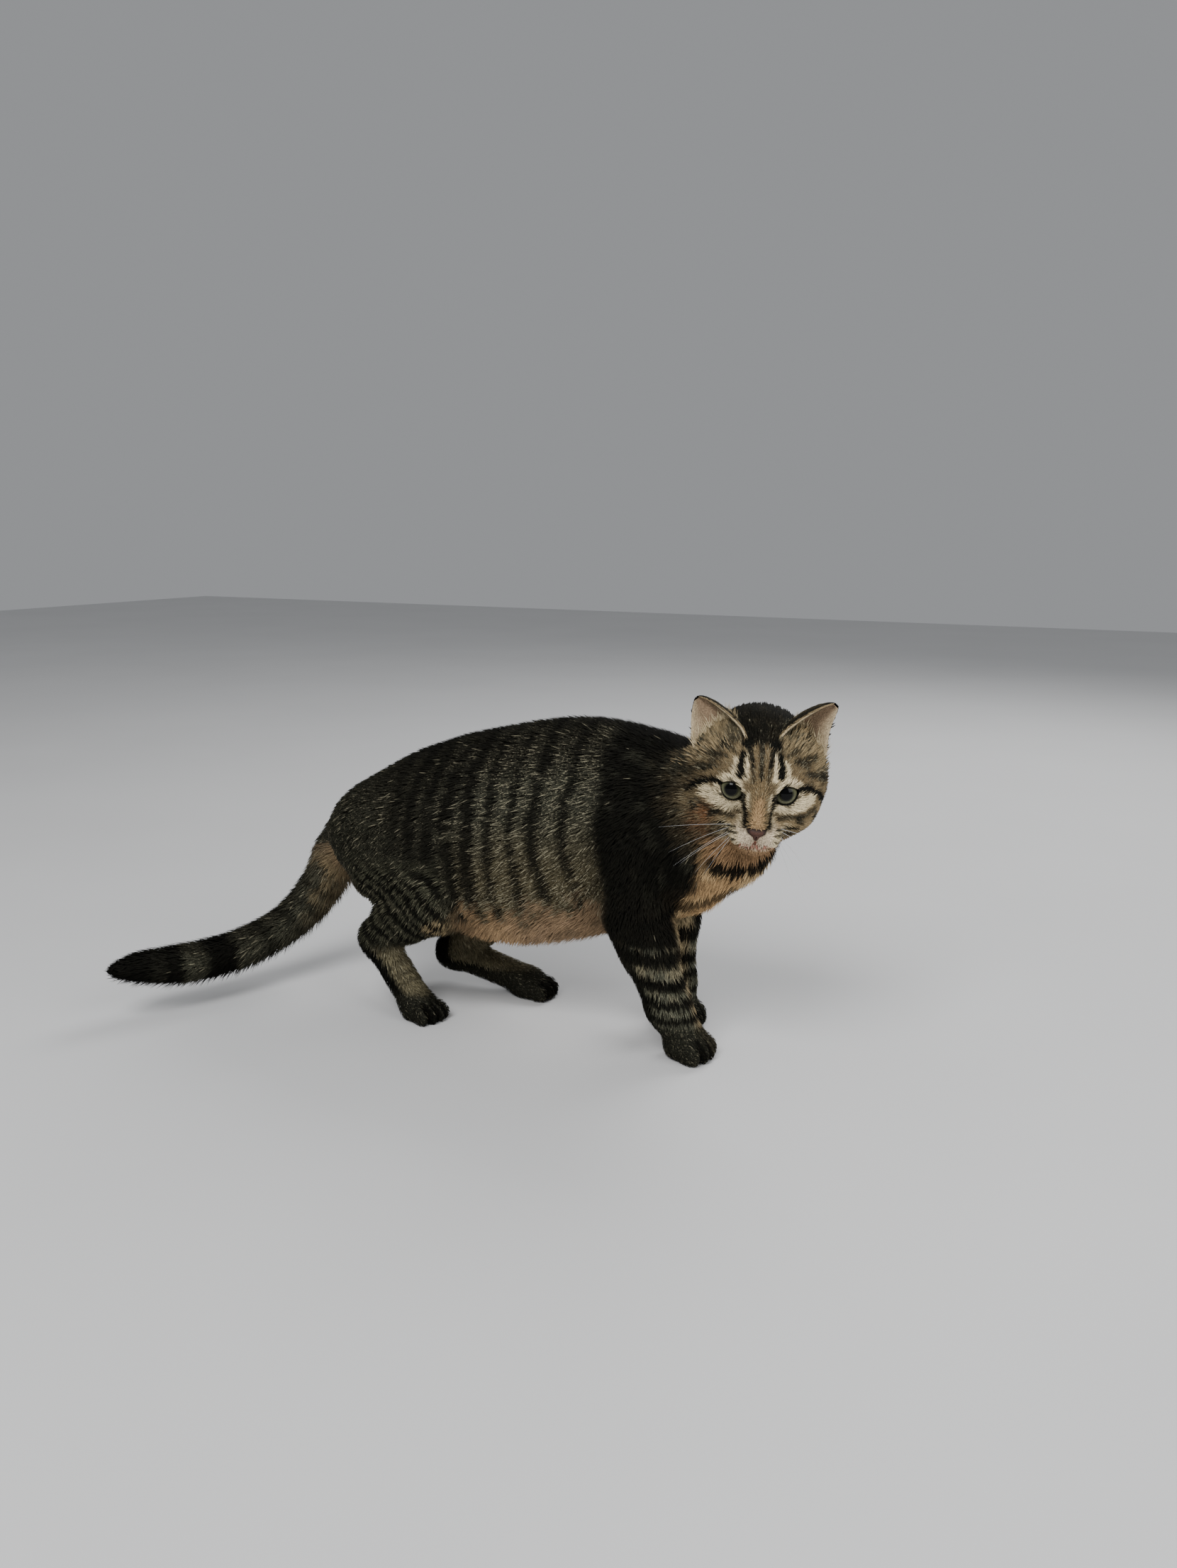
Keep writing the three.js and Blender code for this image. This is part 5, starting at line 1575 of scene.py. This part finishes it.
# ---------------------------------------------------------------- eyes
GAZE = {"right": (12, 17), "left": (5, 17)}  # how far each eye looks outward and upward, in degrees
PUPIL, IRIS, CORNEA, BULGE = 3.95, 8.1, 8.4, 0.9


def eyeball(side):
    rings = np.concatenate([np.linspace(0, 62, 84), np.linspace(64, 180, 40)])
    turns = np.linspace(0, 360, 96, endpoint=False)
    angle, turn = np.meshgrid(np.radians(rings), np.radians(turns), indexing="ij")
    angle, turn = angle.ravel(), turn.ravel()
    off_axis = EYE["radius"] * np.sin(angle)
    rise = BULGE * np.maximum(1 - (off_axis / CORNEA) ** 2, 0) * (angle < math.pi / 2)
    r = EYE["radius"] + rise
    reach = r * np.sin(angle)
    e = np.column_stack([r * np.cos(angle), reach * np.cos(turn), reach * np.sin(turn)])
    outward, upward = GAZE[side]
    look = turn_about("z", SIDES[side] * outward) @ turn_about("y", -upward)
    points = from_head(e @ look.T + eye_middle(side))
    off = np.where(angle < math.pi / 2, off_axis, 20)
    grain = noise(np.column_stack([np.cos(turn) * 14, np.sin(turn) * 14, off * 0.35]), 1.0, 6)
    # painted reflection: a pale arc across the lower part of each iris
    low = ramp(0.4, -0.9, np.sin(turn))
    c = np.tile(vec(0.045, 0.048, 0.026), (len(off), 1))
    c = mixed(c, vec(0.11, 0.108, 0.060), ramp(4.4, 6.6, off))
    c = mixed(c, vec(0.22, 0.215, 0.135), 0.75 * low * ramp(4.6, 6.4, off))
    c = c * (1 + 0.22 * grain)[:, None]
    c = mixed(c, vec(0.02, 0.02, 0.012), ramp(5.0, 4.3, off) + ramp(IRIS - 1.1, IRIS - 0.1, off))
    c = mixed(c, vec(0.0005, 0.0005, 0.0005), ramp(PUPIL + 0.15, PUPIL - 0.1, off))
    c = mixed(c, vec(0.03, 0.024, 0.018), ramp(IRIS, IRIS + 0.6, off))
    rows, columns = len(rings), len(turns)
    number = np.arange(rows * columns).reshape(rows, columns)
    nxt = np.roll(number, -1, 1)
    quads = np.stack([number[:-1], number[1:], nxt[1:], nxt[:-1]], -1).reshape(-1, 4)
    return points, quads, c


eye_material, tree, shader, add = new_material(
    "eye", 0.3, Specular_IOR_Level=0.0, Coat_Weight=0.6, Coat_Roughness=0.02, Coat_IOR=1.33,
)
_, tone = toned(add, "ShaderNodeTexNoise", "Fac", 0.8, 1.2, Scale=2600.0, Detail=3.0)
tint(tree, shader, add, tone)
for side in SIDES:
    points, quads, shade = eyeball(side)
    made(
        f"eye_{side}_ball", points, quads, eye_material,
        colour=with_flecks(shade, 0.0), nodes=[f"eye_{side}"],
    )


# ---------------------------------------------------------------- nose
def nose_surface(p):
    return nose_form(into_head(p))


NOSE_AXES = [np.arange(-10, 10.4, 0.45) + a for a in from_head(NOSE_TIP + vec(-4, 0, 0))]
spare = [(len(line) - 1) % COARSE for line in NOSE_AXES]
NOSE_AXES = [line[: len(line) - extra] for line, extra in zip(NOSE_AXES, spare)]
nose_points, nose_quads = surface_nets(gridded(nose_surface, NOSE_AXES), NOSE_AXES)
nose_points = settle(nose_surface, nose_points, 2, 0.3)
q = into_head(nose_points)
shade = np.tile(vec(0.075, 0.032, 0.022), (len(q), 1))
shade = mixed(shade, vec(0.02, 0.012, 0.010), 0.85 * ramp(3.4, 5.8, np.abs(q[:, 1])))
above_tip = q[:, 2] - NOSE_TIP[2]
shade = mixed(shade, vec(0.018, 0.011, 0.009), 0.8 * ramp(2.6, 4.2, above_tip))
nose_material, tree, shader, add = new_material("nose leather", 0.55, Specular_IOR_Level=0.25)
cells, tone = toned(add, "ShaderNodeTexVoronoi", "Distance", 1.15, 0.7, Scale=1500.0)
tint(tree, shader, add, tone)
bump = add("ShaderNodeBump", [(cells.outputs["Distance"], "Height")], Strength=0.5, Distance=0.0004)
bump.invert = True
tree.links.new(bump.outputs["Normal"], shader.inputs["Normal"])
made(
    "nose_leather", nose_points, nose_quads, nose_material,
    colour=with_flecks(shade, 0.0), nodes=["nose"],
)


# ---------------------------------------------------------------- whiskers
def hairs(lines, thick, sides_round=5):
    """Closed tapered tubes along lines of points, all with the same number of steps."""
    points, faces = [], []
    for line in lines:
        steps = len(line)
        run = unit(np.gradient(line, axis=0))
        side = unit(np.cross(run, vec(0.2, 0.3, 1)))
        up = np.cross(side, run)
        base = sum(len(part) for part in points)
        share = np.linspace(0, 1, steps)
        radius = thick * (1 - share) ** 0.8 + 0.02
        turns = np.linspace(0, 2 * math.pi, sides_round, endpoint=False)
        across, over = np.cos(turns)[:, None], np.sin(turns)[:, None]
        ring = [line[i] + radius[i] * (across * side[i] + over * up[i]) for i in range(steps)]
        points.append(np.vstack(ring + [line[:1], line[-1:]]))
        number = base + np.arange(steps * sides_round).reshape(steps, sides_round)
        nxt = np.roll(number, -1, 1)
        a, b, c, d = (part.ravel() for part in (number[:-1], nxt[:-1], nxt[1:], number[1:]))
        faces += [np.column_stack([a, b, c]), np.column_stack([a, c, d])]
        first, last = base + steps * sides_round, base + steps * sides_round + 1
        faces.append(np.column_stack([nxt[0], number[0], np.full(sides_round, first)]))
        faces.append(np.column_stack([number[-1], nxt[-1], np.full(sides_round, last)]))
    return np.vstack(points), np.vstack(faces)


def whisker(root, toward, length, sag, steps=14):
    """A curve from a root in the head's frame that leaves along `toward` and sags."""
    t = np.linspace(0, 1, steps)[:, None]
    toward = unit(np.asarray(toward, dtype=np.float64))
    line = np.asarray(root) + toward * length * t + vec(-0.35, 0, -1) * sag * t**2
    return from_head(line)


WHISKER_THICK = 0.09  # its radius at the root, over that of the tip
WHISKER_ROWS = [  # the root's X, Y, Z on the pad, the direction out of it, the length and the sag
    ((17, 15.5, -20.5), (0.0, 1, -0.03), 58, 4),
    ((15, 16.5, -23.5), (-0.1, 1, -0.45), 54, 8),
    ((20, 15.5, -24.5), (0.0, 1, -0.72), 50, 10),
    ((14, 16.5, -27.0), (-0.2, 1, -1.0), 54, 8),
    ((19, 15.5, -27.5), (-0.1, 1, -1.4), 48, 8),
    ((16, 15.0, -30.0), (-0.25, 1, -1.9), 42, 6),
]
lines = []
for side, sign in SIDES.items():
    for root, toward, size, sag in WHISKER_ROWS:
        root = vec(*root) * vec(1, sign, 1)
        toward = vec(*toward) * vec(1, sign, 1) + rng.normal(0, 0.07, 3)
        lines.append(whisker(root - unit(toward) * 1.5, toward, size * rng.uniform(0.8, 1.05), sag))
whisker_material, tree, shader, add = new_material("whisker", 0.35)
_, tone = toned(add, "ShaderNodeTexNoise", "Fac", 0.5, 0.78, Scale=180.0, Detail=1.0)
tree.links.new(tone, shader.inputs["Base Color"])
points, faces = hairs(lines, WHISKER_THICK)
made("whiskers", points, faces, whisker_material)


# ---------------------------------------------------------------- camera, floor and light
def camera_turn(yaw, pitch, roll):
    yaw, pitch, roll = (math.radians(a) for a in (yaw, pitch, roll))
    ahead = vec(math.sin(yaw) * math.cos(pitch), math.cos(yaw) * math.cos(pitch), -math.sin(pitch))
    right = vec(math.cos(yaw), -math.sin(yaw), 0)
    up = np.cross(right, ahead)
    c, s = math.cos(roll), math.sin(roll)
    return np.column_stack([c * right + s * up, -s * right + c * up, -ahead])


CAMERA_AT = vec(480, -885, 413.65)
CAMERA_TURN = camera_turn(-26.427, 11.849, 0.179)
camera = bpy.data.objects.new("camera", bpy.data.cameras.new("camera"))
camera.data.lens = 28.81
camera.data.sensor_width = 36
camera.data.clip_start = 0.02
pose = np.eye(4)
pose[:3, :3] = CAMERA_TURN
pose[:3, 3] = (CAMERA_AT + TO_ROW) * MM
camera.matrix_world = Matrix(pose.tolist())
bpy.context.scene.collection.objects.link(camera)
bpy.context.scene.camera = camera

FLOOR_SIDE = 9.0
floor_mesh = bpy.data.meshes.new("floor")
half = FLOOR_SIDE / 2
floor_corners = [(-half, -half, 0), (half, -half, 0), (half, half, 0), (-half, half, 0)]
floor_mesh.from_pydata(floor_corners, [], [(0, 1, 2, 3)])
floor = bpy.data.objects.new("floor", floor_mesh)
floor_material, tree, shader, add = new_material("floor", 0.7)
_, tone = toned(add, "ShaderNodeTexNoise", "Fac", 0.60, 0.66, Scale=3.0, Detail=3.0)
tree.links.new(tone, shader.inputs["Base Color"])
floor_mesh.materials.append(floor_material)
bpy.context.scene.collection.objects.link(floor)

LIGHTS = [  # name, place and target in metres, side of the square, watts
    ("key", (0.2, -1.7, 1.9), (0, 0, 0.12), 1.1, 50),
    ("fill", (1.9, -0.4, 1.1), (0.1, 0, 0.12), 1.4, 20),
    ("rim", (0.4, 1.7, 1.6), (0, 0, 0.15), 1.2, 24),
]
for name, at, target, size, watts in LIGHTS:
    data = bpy.data.lights.new(name, "AREA")
    data.size = size
    data.energy = watts
    light = bpy.data.objects.new(name, data)
    light.location = at
    light.rotation_euler = (Vector(target) - Vector(at)).to_track_quat("-Z", "Y").to_euler()
    bpy.context.scene.collection.objects.link(light)

world = bpy.data.worlds.new("studio")
world.use_nodes = True
background = world.node_tree.nodes["Background"]
background.inputs["Color"].default_value = (0.80, 0.82, 0.85, 1)
background.inputs["Strength"].default_value = 0.38
bpy.context.scene.world = world
